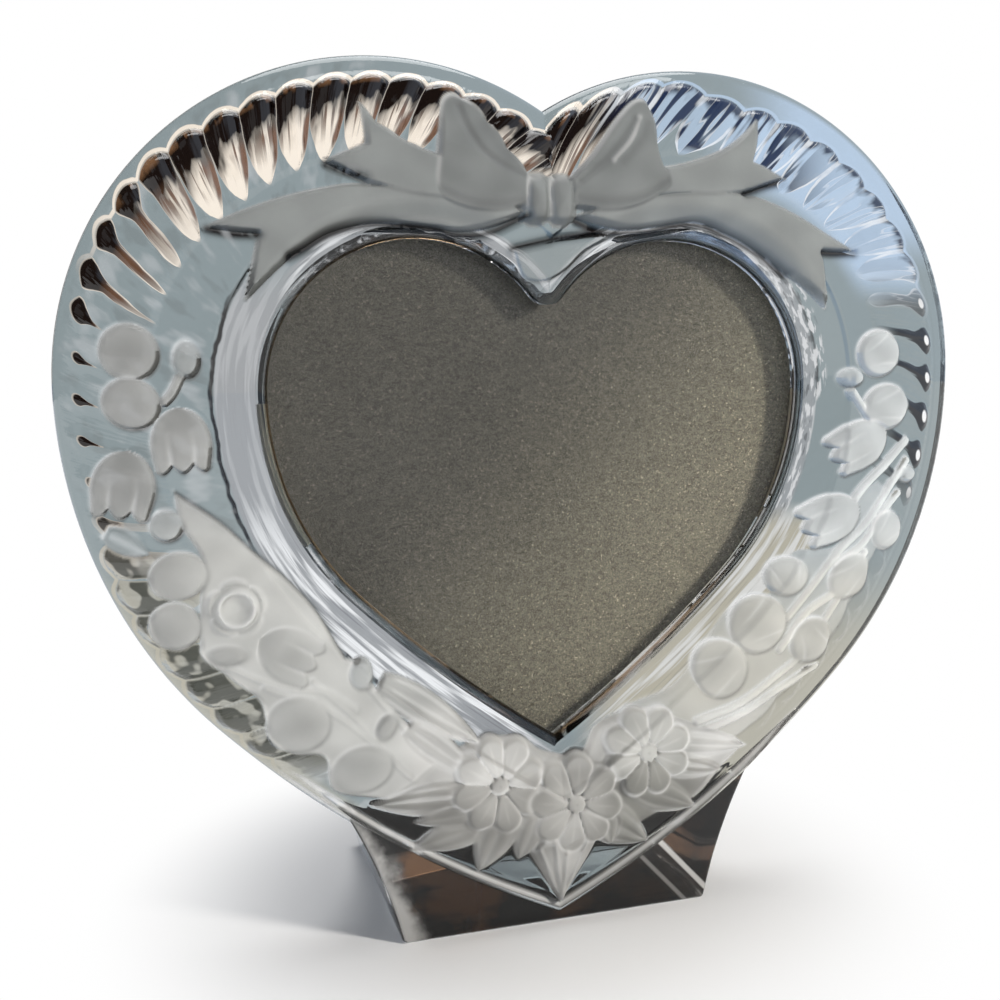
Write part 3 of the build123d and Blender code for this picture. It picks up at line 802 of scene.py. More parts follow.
def meshObject(name, vertices, faces):
    mesh = bpy.data.meshes.new(name)
    mesh.from_pydata([tuple(p) for p in vertices], [], [tuple(f) for f in faces])
    mesh.validate()
    made = bpy.data.objects.new(name, mesh)
    bpy.context.scene.collection.objects.link(made)
    mesh.polygons.foreach_set("use_smooth", [True] * len(mesh.polygons))
    return made


def heartBody():
    # the carved front, the wall of the window, the recess behind it, the back and the outer side
    counts = section["arcSteps"]
    outer, inner = glassHeart.ring(0.0, counts), windowHeart.ring(0.0, counts)
    close = np.array(section["edgeSteps"]) / section["sheetWidth"]
    middle = np.linspace(close[-1], 1 - close[-1], section["sheetLoops"])
    t = np.concatenate([close[:-1], middle, 1 - close[-2::-1]])[:, None]
    u, v = (outer[None, :, i] * (1 - t) + inner[None, :, i] * t for i in (0, 1))
    loops = list(toFrame(u, v, carveFront(u, v).level))
    recess = windowHeart.ring(section["ledgeWidth"], counts)
    backEdge = glassHeart.ring(-section["backRound"], counts)

    def level(ring, w):
        loops.append(toFrame(ring[:, 0], ring[:, 1], np.full(len(ring), w)))

    ledge, back, soft = section["ledgeLevel"], section["backLevel"], section["backRound"]
    level(inner, ledge)
    level(recess, ledge)
    level(recess, back)
    level(backEdge, back)
    level(glassHeart.ring(-section["backMiddle"] * soft, counts), back + section["backMiddle"] * soft)
    level(outer, back + soft)
    rows, across = len(loops), len(outer)
    grid = np.arange(rows * across).reshape(rows, across)
    nextRow, nextCol = np.roll(grid, -1, 0), np.roll(grid, -1, 1)
    both = np.roll(nextRow, -1, 1)
    faces = np.stack([grid, nextRow, both, nextCol], -1).reshape(-1, 4)
    return meshObject("crystal", np.concatenate(loops), faces.tolist())


def footBlock():
    f = foot
    sideMiddle = ((f["halfTop"] + f["halfBottom"]) / 2 - f["waist"], f["height"] / 2)
    sideX, sideY, sideR = circleThrough((f["halfTop"], f["height"]), sideMiddle, (f["halfBottom"], 0.0))
    back = -section["backLevel"]
    topMiddle = (-(back + f["reach"]) / 2, (f["height"] + f["rearHeight"]) / 2 - f["hollow"])
    topX, topY, topR = circleThrough((-back, f["height"]), topMiddle, (-f["reach"], f["rearHeight"]))
    stations = np.concatenate([[f["front"], -back], np.linspace(-back, -f["reach"], f["depthLoops"])[1:]])
    vertices, faces = [], []
    n = f["sideLoops"]
    for w in stations:
        top = f["height"] if w >= -back else topY - sqrt(max(topR ** 2 - (w - topX) ** 2, 0.0))
        z = top * np.linspace(0, 1, n + 1)
        half = sideX - np.sqrt(sideR ** 2 - (z - sideY) ** 2)
        across, up = np.concatenate([half, -half[::-1]]), np.concatenate([z, z[::-1]])
        vertices += list(toFrame(across, up - middleZ, np.full(len(up), w)))
    size = 2 * (n + 1)
    for i in range(len(stations) - 1):
        for j in range(size):
            a, b = i * size + j, i * size + (j + 1) % size
            faces.append((a, b, b + size, a + size))
    faces.append(tuple(range(size))[::-1])
    faces.append(tuple(range((len(stations) - 1) * size, len(stations) * size)))
    made = meshObject("footBlock", vertices, faces)
    work = bmesh.new()
    work.from_mesh(made.data)
    bmesh.ops.recalc_face_normals(work, faces=work.faces)
    limit = radians(f["sharpOver"])
    sharp = [e for e in work.edges if len(e.link_faces) == 2 and e.calc_face_angle() > limit]
    bmesh.ops.bevel(work, geom=sharp, offset=f["edge"] * mm, segments=f["edgeSteps"],
                    profile=0.5, affect="EDGES")
    work.to_mesh(made.data)
    work.free()
    return made


def unite(body, block):
    mod = body.modifiers.new("unite", "BOOLEAN")
    mod.operation, mod.solver, mod.object = "UNION", "MANIFOLD", block
    done = bpy.data.meshes.new_from_object(body.evaluated_get(bpy.context.evaluated_depsgraph_get()))
    body.modifiers.clear()
    body.data = done
    bpy.data.objects.remove(block)


crystal = heartBody()
work = bmesh.new()
work.from_mesh(crystal.data)
bmesh.ops.recalc_face_normals(work, faces=work.faces)
work.to_mesh(crystal.data)
work.free()
unite(crystal, footBlock())
print("glass united:", len(crystal.data.vertices), "points")

# Tints that light takes on through the front of the glass, as linear colours. Clear is darker and bluer than
# clear glass and stands in for the grey-blue surroundings it shows. Cream, sky, white, silver and beige are
# painted reflections and highlights. Black, navy, blue-black, olive and brown are painted shade and dark
# reflections, and foot is painted shade on the foot's face
glassTints = {
    "clear": (0.29, 0.345, 0.36),
    "cream": (1.0, 0.90, 0.78),
    "blackShadeAndReflection": (0.010, 0.006, 0.005),
    "brown": (0.34, 0.235, 0.14),
    "navy": (0.02, 0.035, 0.085),
    "sky": (0.52, 0.66, 0.84),
    "white": (0.96, 0.98, 1.0),
    "olive": (0.085, 0.09, 0.078),
    "blueBlackReflection": (0.025, 0.028, 0.035),
    "silver": (0.36, 0.375, 0.39),
    "beige": (0.50, 0.475, 0.39),
    "foot": (0.05, 0.045, 0.04),
}
# Tints of the frosted parts and how strong the frost is there: the ground, then zones laid over it in turn.
# The tints are painted light and shade, darkest on the bow at the top and lighter low down and on the right
frostGround = ((0.34, 0.346, 0.33), 0.5)
frostTints = {
    "frostLowLeft": ((0.54, 0.545, 0.52), 0.85),
    "frostLow": ((0.78, 0.775, 0.745), 0.86),
    "frostRight": ((0.72, 0.77, 0.785), 0.7),
    "frostRightLow": ((0.68, 0.67, 0.60), 0.75),
    "frostTop": ((0.178, 0.190, 0.186), 1.0),
    "frostLowRight": ((0.52, 0.52, 0.485), 0.86),
}
# light and dark for the painted highlights and painted shade on the frosted forms' lines and rim, the share
# of the lines, and an uneven tone
frostLook = {"light": (1.0, 1.0, 0.99), "dark": (0.05, 0.05, 0.05), "line": 0.6,
             "uneven": 0.12, "waves": (0.22, 0.19)}


def blendTo(base, share, colour):
    return base + (np.array(colour) - base) * np.clip(share, 0, 1)[:, None]


def ripple(a, b):
    # uneven waves between -1 and 1, the same each run
    return np.sin(1.7 * a + 0.9 * np.sin(2.3 * b)) * np.sin(2.9 * b + 1.1 * np.sin(1.3 * a))


def rimLights(relief):
    # painted highlight lines on both sides of the raised rim over the foot
    lines = sum(hump(relief.edge - at, rimLine["light"]) for at in rimLine["lights"])
    return lines * zone("rimLit", relief.u, relief.v)


def fluteTints(relief):
    # light and dark tints of the flutes, painted reflections of bright and dark surroundings, with shares of
    # light, of the scalloped line and of dark
    u, v = relief.u, relief.v
    left = u < 0
    blue, low, deep, pale = (zone(name, u, v) for name in ("blueSide", "lowFlank", "blueDeep", "bluePale"))
    top = np.where(left, zone("topLeft", u, v), zone("topRight", u, v))
    flank = 1 - top
    rows = [  # weight, light, dark, share of light, of the line, of dark
        (top * (1 - blue), "cream", "blackShadeAndReflection", 0.98, 0.95, 1.0),
        (top * blue * deep, "sky", "navy", 0.6, 0.7, 1.0),
        (top * blue * pale, "sky", "navy", 0.3, 0.4, 0.2),
        (flank * (1 - low) * left, "cream", "blackShadeAndReflection", 0.8, 0.0, 1.0),
        (flank * low * left, "beige", "olive", 0.6, 0.9, 1.0),
        (flank * (1 - low) * (1 - left), "white", "blueBlackReflection", 0.0, 0.0, 1.0),
        (flank * low * (1 - left), "white", "blueBlackReflection", 0.0, 0.0, 0.1),
    ]
    light, dark, shares = (np.zeros((len(u), 3)) for i in range(3))
    for weight, lightTint, darkTint, *share in rows:
        light += np.array(glassTints[lightTint]) * weight[:, None]
        dark += np.array(glassTints[darkTint]) * weight[:, None]
        shares += np.array(share) * weight[:, None]
    return light ** 2, dark ** 2, shares


# Ring round the window, painted reflections and shade: bands by the distance from it as from, to and
# softness, with their shares
ringLook = {
    "bare": (0.05, 0.3),  # frost over which the ring's tints stop
    "left": (1.6, 9.0, 0.35), "right": (0.8, 3.4, 0.25), "seam": (3.5, 3.9, 0.2),
    "low": (0.8, 11.0, 1.0), "over": (0.8, 4.0, 0.4), "shine": (1.0, 9.0, 0.5),
    "rightShare": 0.8, "seamShare": 0.8, "lowShare": 0.95,
    "leftShine": 0.12, "lowShine": 0.5, "overShine": 0.7,
    "beads": (1.0, 3.4), "beadsHigh": 1.8, "beadsSoft": 0.3, "lip": 0.5,
}


def tintRing(front, relief):
    # painted reflections and shade of the ring: its silver and beige ground, plus a black seam and a black
    # line at the lip, browner on the left and low down, as painted shade. Also how strong its streaks, its
    # outer line and its beads are
    k = ringLook
    u, v, reach = relief.u, relief.v, relief.reach
    bare = (1 - ease(*k["bare"], relief.frost)) * (1 - np.clip(-relief.line, 0, 1))
    left, right, over = (zone(name, u, v) * bare for name in ("ringLeft", "ringRight", "ringOver"))
    high, lower = zone("ringHigh", u, v), zone("ringLow", u, v)
    low, over = right * lower * band(*k["low"], reach), over * band(*k["over"], reach)
    lip = hump(reach, k["lip"])
    layers = [
        (left * band(*k["left"], reach), "silver"),
        (right * band(*k["right"], reach) * k["rightShare"], "silver"),
        (right * band(*k["seam"], reach) * high * k["seamShare"], "blackShadeAndReflection"),
        (low * k["lowShare"], "beige"),
        (over, "silver"),
        (lip, "blackShadeAndReflection"),
        (lip * np.maximum(zone("lipLeft", u, v), zone("lipLow", u, v)), "brown"),
    ]
    for share, tint in layers:
        front = blendTo(front, share, glassTints[tint])
    shine = left * blend(k["leftShine"], 1.0, zone("ringBright", u, v)) * band(*k["shine"], reach)
    shine = np.maximum(shine, np.maximum(low * k["lowShine"], over * k["overShine"]))
    first, last = k["beads"]
    beaded = right * (1 - lower) * band(first, last + k["beadsHigh"] * high, k["beadsSoft"], reach)
    return front, shine, left * zone("outerLine", u, v), beaded


# Ground of the glass, with its painted sky and beige reflections: spans from the outer edge and from the
# flutes' heads, with shares
groundLook = {
    "skyIn": (0.8, 2.0), "skyOut": (9.0, 6.0), "fluteIn": (0.0, 1.0), "fluteOut": (17.0, 12.0),
    "skyShare": 0.88, "beigeRight": 0.85, "beigeLeft": 0.7, "leftOut": (5.0, 2.0),
    "frostShare": 0.8, "lineShare": 0.8,
}


def tintGlass(relief, frostTint, onFront, onFoot):
    k, t = groundLook, glassTints
    u, v, edge, inside = relief.u, relief.v, relief.edge, relief.inside
    front = np.tile(t["clear"], (len(u), 1))
    # upper right: the band and the ground between the flutes are pale blue, a painted sky reflection
    sky = zone("skyBand", u, v) * ease(*k["skyIn"], edge) * ease(*k["skyOut"], edge)
    ground = zone("skyGround", u, v) * ease(*k["fluteIn"], inside) * ease(*k["fluteOut"], inside)
    front = blendTo(front, np.maximum(sky, ground) * k["skyShare"], t["sky"])
    # painted beige reflections low on the right and on the left
    front = blendTo(front, zone("beigeRight", u, v) * k["beigeRight"], t["beige"])
    front = blendTo(front, zone("beigeLeft", u, v) * ease(*k["leftOut"], edge) * k["beigeLeft"], t["beige"])
    front, *ring = tintRing(front, relief)
    frosted = k["frostShare"] * np.sqrt(frostTint) * relief.frost[:, None]
    front = blendTo(front, relief.frost, (0.0, 0.0, 0.0)) + frosted
    # painted highlight lines on the rim over the foot, then the forms' lines as painted shade and painted
    # highlight
    front = blendTo(front, rimLights(relief), t["white"])
    front = blendTo(front, -relief.line, t["blackShadeAndReflection"])
    front = blendTo(front, relief.line * k["lineShare"], t["white"])
    # the carved front takes the square of its tint, and the foot's face a dark tint that is painted shade
    tint = front ** 2 * onFront[:, None] + (1 - onFront)[:, None]
    return tint + (np.array(t["foot"]) ** 2 - tint) * onFoot[:, None], ring


def tintFrost(relief):
    # tint and strength of the frost by the part of the heart, with painted light and shade by zone and
    # painted highlight and shade on the forms' lines
    k, u, v = frostLook, relief.u, relief.v
    tint, share = np.tile(frostGround[0], (len(u), 1)), np.full(len(u), frostGround[1])
    for name, (colour, strength) in frostTints.items():
        part = zone(name, u, v)
        tint = blendTo(tint, part, colour)
        share = blend(share, strength, part)
    uneven = k["uneven"] * ripple(k["waves"][0] * u, k["waves"][1] * v)
    tint = tint * (1 + relief.tone + uneven)[:, None]
    tint = blendTo(tint, rimLights(relief), k["light"])
    tint = blendTo(tint, -relief.line * k["line"], k["dark"])
    return blendTo(tint, relief.line * k["line"], k["light"]), relief.frost * share


def bodyPoints():
    # places of the united body's points, across, up and forward in mm
    place = np.empty(len(crystal.data.vertices) * 3)
    crystal.data.vertices.foreach_get("co", place)
    place = place.reshape(-1, 3) / mm
    return place[:, 0], place[:, 2] - middleZ, edgeY - place[:, 1]


def keep(name, kind, field, values):
    made = crystal.data.attributes.new(name, kind, "POINT")
    made.data.foreach_set(field, np.ascontiguousarray(values, np.float32).ravel())


# What counts as the carved front and the face of the foot, in mm, and spans of marks on them
marking = {
    "level": 0.3, "window": -0.05, "edge": 0.02, "footFace": 0.12, "footTop": -48.0, "footEdge": 2.0,
    "reflectionWaveIn": (0.5, 2.0), "reflectionWaveOut": (9.0, 11.0), "darkBand": (0.3, 1.5, 0.3), "rimFrost": 0.95,
}


def markBody():
    # values at the points of the united body, read again from the carving, for the finish of the glass
    k = marking
    u, v, w = bodyPoints()
    relief = carveFront(u, v)
    edge, reach, left = relief.edge, relief.reach, u < 0
    onFoot = (np.abs(w - foot["front"]) < k["footFace"]) & (v < k["footTop"]) & (edge < k["footEdge"])
    onFront = (np.abs(w - relief.level) < k["level"]) & (reach > k["window"]) & (edge > k["edge"]) & ~onFoot
    onFoot, onFront = onFoot.astype(float), onFront.astype(float)
    frostTint, frost = tintFrost(relief)
    frost = np.maximum(frost, np.clip(rimLights(relief), 0, k["rimFrost"])) * onFront + foot["haze"] * onFoot
    glassTint, (shine, outerLine, beaded) = tintGlass(relief, frostTint, onFront, onFoot)
    fluteLight, fluteDark, fluteShare = fluteTints(relief)
    low = zone("lowFlank", u, v) * left
    short = zone("shortened", u, v) * left * (1 - low)
    # where painted reflection waves lie on the left band
    reflectionWaves = zone("reflectionWaves", u, v) * ease(*k["reflectionWaveIn"], edge) * ease(*k["reflectionWaveOut"], reach)
    darkEdge = zone("darkEdge", u, v) * band(*k["darkBand"], edge)
    keep("frost", "FLOAT", "value", frost)
    keep("foot", "FLOAT", "value", onFoot)
    vectors = {
        "flutePath": (relief.turns, relief.inside, relief.flute * onFront),
        "fluteForm": (relief.slim, low, zone("dotted", u, v) * (u > 0)),
        "fluteSide": (zone("blueFlutes", u, v), short, reflectionWaves * onFront),
        "fluteShare": fluteShare.T,
        "ringZone": (outerLine * onFront, beaded * onFront, darkEdge * onFront),
        "ringPath": (reach, glassHeart.along(u, v), shine * onFront),
    }
    for name, fields in vectors.items():
        keep(name, "FLOAT_VECTOR", "vector", np.stack(fields, 1))
    tints = {"glassTint": glassTint, "frostTint": frostTint, "fluteLight": fluteLight, "fluteDark": fluteDark}
    for name, tint in tints.items():
        keep(name, "FLOAT_COLOR", "color", np.concatenate([tint, np.ones((len(tint), 1))], 1))


markBody()
crystal.data.polygons.foreach_set("use_smooth", [True] * len(crystal.data.polygons))
crystal.data.set_sharp_from_angle(angle=radians(section["sharpOver"]))
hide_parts("crystal_frame")
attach(crystal, "glass")
print("glass carved")


def maths(operation, reflected=False):
    # operator that makes a Math node from a socket and another value
    def method(self, other=0.0):
        return self.calc(operation, other, self) if reflected else self.calc(operation, self, other)
    return method


class Sock:
    # wraps a socket, so that shader maths reads as plain expressions, where | takes the larger value
    def __init__(self, tree, out):
        self.tree, self.out = tree, out

    def calc(self, operation, a, b):
        node = self.tree.nodes.new("ShaderNodeMath")
        node.operation = operation
        for slot, value in zip(node.inputs, (a, b)):
            plug(self.tree, slot, value)
        return Sock(self.tree, node.outputs[0])

    __add__, __radd__ = maths("ADD"), maths("ADD", True)
    __sub__, __rsub__ = maths("SUBTRACT"), maths("SUBTRACT", True)
    __mul__, __rmul__ = maths("MULTIPLY"), maths("MULTIPLY", True)
    __truediv__, __or__ = maths("DIVIDE"), maths("MAXIMUM")
    __abs__, part = maths("ABSOLUTE"), maths("FRACT")
    least = maths("MINIMUM")


def plug(tree, slot, value):
    if isinstance(value, Sock):
        tree.links.new(value.out, slot)
    else:
        slot.default_value = value


class Finish:
    # a material, or the world, with one method for every node it needs
    def __init__(self, name, tree=None):
        if tree is None:
            self.material = bpy.data.materials.new(name)
            self.material.use_nodes = True
            tree = self.material.node_tree
            self.surface = tree.nodes["Principled BSDF"]
        self.tree = tree

    def node(self, kind, settings=None, sockets=None, out=0):
        node = self.tree.nodes.new("ShaderNode" + kind)
        for key, value in (settings or {}).items():
            if key == "stops":
                for i, (at, colour) in enumerate(value):
                    stop = node.color_ramp.elements[i] if i < 2 else node.color_ramp.elements.new(at)
                    stop.position, stop.color = at, (*colour, 1.0)
            else:
                setattr(node, key, value)
        for key, value in (sockets or {}).items():
            plug(self.tree, node.inputs[key], value)
        return Sock(self.tree, node.outputs[out])

    def mix(self, share, a, b, way="MIX"):
        colours = {0: share, 6: paint(a), 7: paint(b)}
        return self.node("Mix", {"data_type": "RGBA", "blend_type": way}, colours, 2)

    def noise(self, scale, detail=3.0, stretch=(1.0, 1.0, 1.0), rough=0.55):
        spot = self.node("TexCoord", out=3)
        spot = self.node("Mapping", None, {"Vector": spot, "Scale": stretch})
        return self.node("TexNoise", None,
                         {"Vector": spot, "Scale": scale, "Detail": detail, "Roughness": rough})

    def place(self):
        # across and up in the frame, in metres
        return [self.node("SeparateXYZ", None, {0: self.node("TexCoord", out=3)}, out=i) for i in (0, 2)]

    def ease(self, low, high, value):
        return self.node("MapRange", {"interpolation_type": "SMOOTHSTEP"},
                         {"Value": value, "From Min": low, "From Max": high})

    def noiseAt(self, x, y, z, detail):
        spot = self.node("CombineXYZ", None, {0: x, 1: y, 2: z})
        return self.node("TexNoise", None, {"Vector": spot, "Scale": 1.0, "Detail": detail})

    def fields(self, name):
        # the three values of a vector that the points carry
        spot = self.node("Attribute", {"attribute_name": name}, out=1)
        return [self.node("SeparateXYZ", None, {0: spot}, out=i) for i in range(3)]

    def tint(self, name):
        return self.node("Attribute", {"attribute_name": name})

    def reading(self, name):
        return self.node("Attribute", {"attribute_name": name}, out=2)

    def ramp(self, value, *stops):
        return self.node("ValToRGB", {"stops": [(at, (grey,) * 3) for at, grey in stops]}, {"Fac": value})

    def bump(self, height, strength, distance):
        return self.node("Bump", None, {"Height": height, "Strength": strength, "Distance": distance})

    def give(self, **sockets):
        for key, value in sockets.items():
            plug(self.tree, self.surface.inputs[socketNames[key]], value)
        return self.material

    def shader(self):
        return Sock(self.tree, self.surface.outputs[0])

    def cover(self, share, below, above):
        # shows one shader over another
        both = self.node("MixShader", None, {0: share, 1: below, 2: above})
        plug(self.tree, self.tree.nodes["Material Output"].inputs["Surface"], both)
        return self.material


socketNames = {"colour": "Base Color", "roughness": "Roughness", "metallic": "Metallic", "normal": "Normal",
               "alpha": "Alpha", "clear": "Transmission Weight", "ior": "IOR",
               "specular": "Specular IOR Level", "sheen": "Sheen Weight", "sheenRoughness": "Sheen Roughness"}


def paint(colour):
    # colours are written as linear values, and a socket passes through
    return colour if isinstance(colour, Sock) else (*colour, 1.0)


def wear(obj, material):
    obj.data.materials.clear()
    obj.data.materials.append(material)


# Paint of the flutes, painted reflections, shade and highlights: noises as scale across and along, seed and
# detail, and spans where each part comes in
flutePaint = {
    "blot": (3.1, 0.17, 0.0, 2.0), "streak": (9.0, 0.07, 4.0, 2.0), "broad": (4.2, 0.06, 11.0, 1.0),
    "smearAndReflectionWaves": (1.4, 0.14, 9.0, 2.0), "facet": (1.9, 0.30, 2.0, 1.0),
    "waveHighlight": (0.52, 0.70), "waveHighlightShare": 0.12, "waveHighlightTint": (0.9, 0.95, 1.0),
    "waveShade": (0.47, 0.36), "waveShadeShare": 0.4, "waveShadeTint": (0.03, 0.036, 0.036),
    "neck": 0.62, "neckRun": (0.10, 0.36), "sway": 0.12,
    "shortSlim": 0.35, "shortRun": (0.08, 0.40), "shortStart": 1.5, "shortEnd": (0.34, 0.42),
    "lipRun": (0.0, 0.45), "sideRun": (1.0, 0.93), "endRun": (1.0, 0.94),
    "head": (0.56, 0.30), "headBlot": 0.5, "headRound": 0.16, "headLean": 0.12,
    "edge": (0.40, 0.70), "edgeBlot": 0.6, "edgeRun": (0.95, 0.75), "edgeShare": 0.98,
    "thread": (0.50, 0.57), "threadRun": (0.85, 0.45), "threadShare": 0.97,
    "bead": (0.26, 0.10), "beadBlot": 0.6, "beadShare": 0.99,
    "broadDark": (0.42, 0.52), "broadRun": (1.0, 0.85),
    "coreHead": (1.0, 0.86), "core": (0.86, 0.6), "coreRun": (1.0, 0.9),
    "facetDark": (0.40, 0.50), "facetRun": (0.85, 0.6), "facetSide": (1.0, 0.85),
    "facetShare": 0.93, "facetBlot": 0.1,
    "warmIn": (0.2, 0.4), "warmOut": (0.75, 0.5), "warmBlot": (0.48, 0.62), "warmShare": 0.6,
    "brownRun": (0.28, 0.5), "brownCore": 0.6, "brownShare": 0.9, "brownTint": (0.05, 0.014, 0.005),
    "redBrownReflection": (0.16, 0.03), "redBrownReflectionBlot": (0.50, 0.62), "redBrownReflectionShare": 0.6, "redBrownReflectionTint": (0.13, 0.035, 0.009),
    "veinIn": (0.80, 0.88), "veinOut": (1.0, 0.95), "veinRun": (1.0, 0.9), "veinLip": (0.0, 0.6),
    "thin": (0.02, 0.008), "thinAt": 0.47, "thinShare": 0.5,
    "veinWaveSpan": (0.35, 0.6), "veinShare": 0.7, "veinTint": (0.85, 0.92, 1.0),
    "lineIn": (-0.62, -0.42), "lineOut": (0.2, -0.05),
    "dotAt": 0.13, "dotSquash": 60.0, "dot": (0.16, 0.06), "dotTint": (1.0, 1.0, 1.0),
    "waveStreak": 0.5, "waveOut": (1.02, 0.9), "waveIn": (-0.05, 0.04),
}


def fluteColour(f, ground):
    # flutes painted with reflections: dark heads and streaked light tails, slimmer with a dark core on the
    # flanks
    k = flutePaint
    turns, inside, on = f.fields("flutePath")
    slim, low, dotted = f.fields("fluteForm")
    lightShare, lineShare, darkShare = f.fields("fluteShare")
    light, dark = f.tint("fluteLight"), f.tint("fluteDark")
    right, short, reflectionWaves = f.fields("fluteSide")

    def noise(name):
        across, along, seed, detail = k[name]
        return f.noiseAt(turns * across, inside * along, seed, detail)

    blot, streak, broad, smearAndReflectionWaves = (noise(name) for name in ("blot", "streak", "broad", "smearAndReflectionWaves"))
    uneven = blot - 0.5
    # painted light and dark reflection waves on the left band
    pale = f.ease(*k["waveHighlight"], smearAndReflectionWaves) * reflectionWaves * k["waveHighlightShare"]
    ground = f.mix(pale, ground, k["waveHighlightTint"])
    dim = f.ease(*k["waveShade"], smearAndReflectionWaves) * reflectionWaves * k["waveShadeShare"]
    ground = f.mix(dim, ground, k["waveShadeTint"])
    # form of a flute: how far along it, how far from its middle, and where its body lies
    far = inside / flutes["depth"]
    taper = far * far * far
    slimWidth = flutes["flankWidth"] * (1 - k["neck"] * f.ease(*k["neckRun"], far)) * (1 - taper * far)
    slimWidth = slimWidth * (1 - k["shortSlim"] * short) * (1 - short * f.ease(*k["shortRun"], far))
    half = flutes["width"] * (1 - taper * far * far) * (1 - slim) + slimWidth * slim + flutes["leastWidth"]
    side = ((turns + uneven * k["sway"]).part() - 0.5) / half
    away = abs(side)
    bulge = flutes["scallop"] * side * side
    lip = inside - bulge.least(flutes["scallop"]) - short * k["shortStart"]
    body = f.ease(*k["lipRun"], lip) * f.ease(*k["sideRun"], away) * f.ease(*k["endRun"], far) * on
    body = body * (1 - short * f.ease(*k["shortEnd"], far))
    # painted reflections: dark parts, light ground and brown and red-brown tinges
    rounded = far + uneven * k["headBlot"] - k["headRound"] * side * side + k["headLean"] * side
    head = f.ease(*k["head"], rounded)
    edge = f.ease(*k["edge"], side + uneven * k["edgeBlot"]) * f.ease(*k["edgeRun"], far) * k["edgeShare"]
    threads = f.ease(*k["thread"], streak) * f.ease(*k["threadRun"], far) * k["threadShare"]
    beads = f.ease(*k["bead"], far + uneven * k["beadBlot"]) * k["beadShare"]
    blue = f.ease(*k["broadDark"], broad) * f.ease(*k["broadRun"], far)
    full = (head | edge | threads) * (1 - right) + blue * right
    core = (head * f.ease(*k["coreHead"], away)) | (f.ease(*k["core"], away) * f.ease(*k["coreRun"], far))
    facet = f.ease(*k["facetDark"], noise("facet")) * f.ease(*k["facetRun"], far)
    facet = facet * f.ease(*k["facetSide"], away) * (k["facetShare"] + blot * k["facetBlot"])
    deep = (full * (1 - slim) + core * slim) * (1 - low) + facet * low
    creamy = lightShare * (1 - right) * (1 - low)
    warm = f.ease(*k["warmIn"], far) * f.ease(*k["warmOut"], far) * f.ease(*k["warmBlot"], blot)
    brown = (edge | threads) * (1 - slim) * (1 - head) + core * slim * k["brownCore"]
    brown = brown * f.ease(*k["brownRun"], far)
    # painted red-brown reflections in the light tails
    redBrownReflection = f.ease(*k["redBrownReflection"], far) * f.ease(*k["redBrownReflectionBlot"], blot) * (1 - slim)
    colour = f.mix(body * lightShare, ground, light)
    colour = f.mix(body * warm * creamy * k["warmShare"], colour, k["brownTint"])
    colour = f.mix(body * deep * darkShare, colour, dark)
    colour = f.mix(body * brown * creamy * k["brownShare"], colour, k["brownTint"])
    colour = f.mix(body * beads * right, colour, dark)
    colour = f.mix(body * redBrownReflection * creamy * k["redBrownReflectionShare"], colour, k["redBrownReflectionTint"])
    # painted highlights: thin light lines and round lights
    vein = f.ease(*k["veinIn"], away) * f.ease(*k["veinOut"], away)
    vein = vein * f.ease(*k["veinRun"], far) * f.ease(*k["veinLip"], lip)
    vein = vein | (f.ease(*k["thin"], abs(broad - k["thinAt"])) * body * k["thinShare"])
    colour = f.mix(vein * right * on * f.ease(*k["veinWaveSpan"], smearAndReflectionWaves) * k["veinShare"], colour, k["veinTint"])
    line = f.ease(*k["lineIn"], lip) * f.ease(*k["lineOut"], lip) * on
    colour = f.mix(line * lineShare, colour, light)
    off = far - k["dotAt"]
    dot = f.ease(*k["dot"], off * off * k["dotSquash"] + side * side)
    colour = f.mix(dot * dotted * body, colour, k["dotTint"])
    waves = (blot + streak * k["waveStreak"]) * on * f.ease(*k["waveOut"], far) * f.ease(*k["waveIn"], far)
    return colour, waves


# Paint of the ring round the window, painted reflections, glints and shade: noises as for the flutes, spans,
# shares and tints
ringPaint = {
    "wide": (0.75, 0.03, 0.0, 3.0), "fine": (2.6, 0.05, 7.0, 2.0), "bend": (0.2, 0.11, 2.0, 2.0),
    "bead": (1.3, 0.15, 5.0, 3.0), "spot": (0.45, 3.0, 1.0, 2.0),
    "light": (0.46, 0.60), "lightShare": 0.85, "lightTint": (0.92, 0.96, 1.0),
    "dark": (0.58, 0.66), "darkShare": 0.6, "darkTint": (0.03, 0.03, 0.04),
    "bendBy": 1.8, "lineIn": (8.9, 9.2), "lineOut": (10.0, 9.6), "lineTint": (0.0004, 0.0004, 0.0005),
    "beadLight": (0.50, 0.60), "beadLightShare": 0.45, "beadLightTint": (0.95, 0.97, 1.0),
    "beadDark": (0.41, 0.35), "beadDarkShare": 0.7, "beadDarkTint": (0.002, 0.002, 0.003),
    "spots": (0.46, 0.54), "spotShare": 0.98, "spotTint": (0.0008, 0.001, 0.002),
}


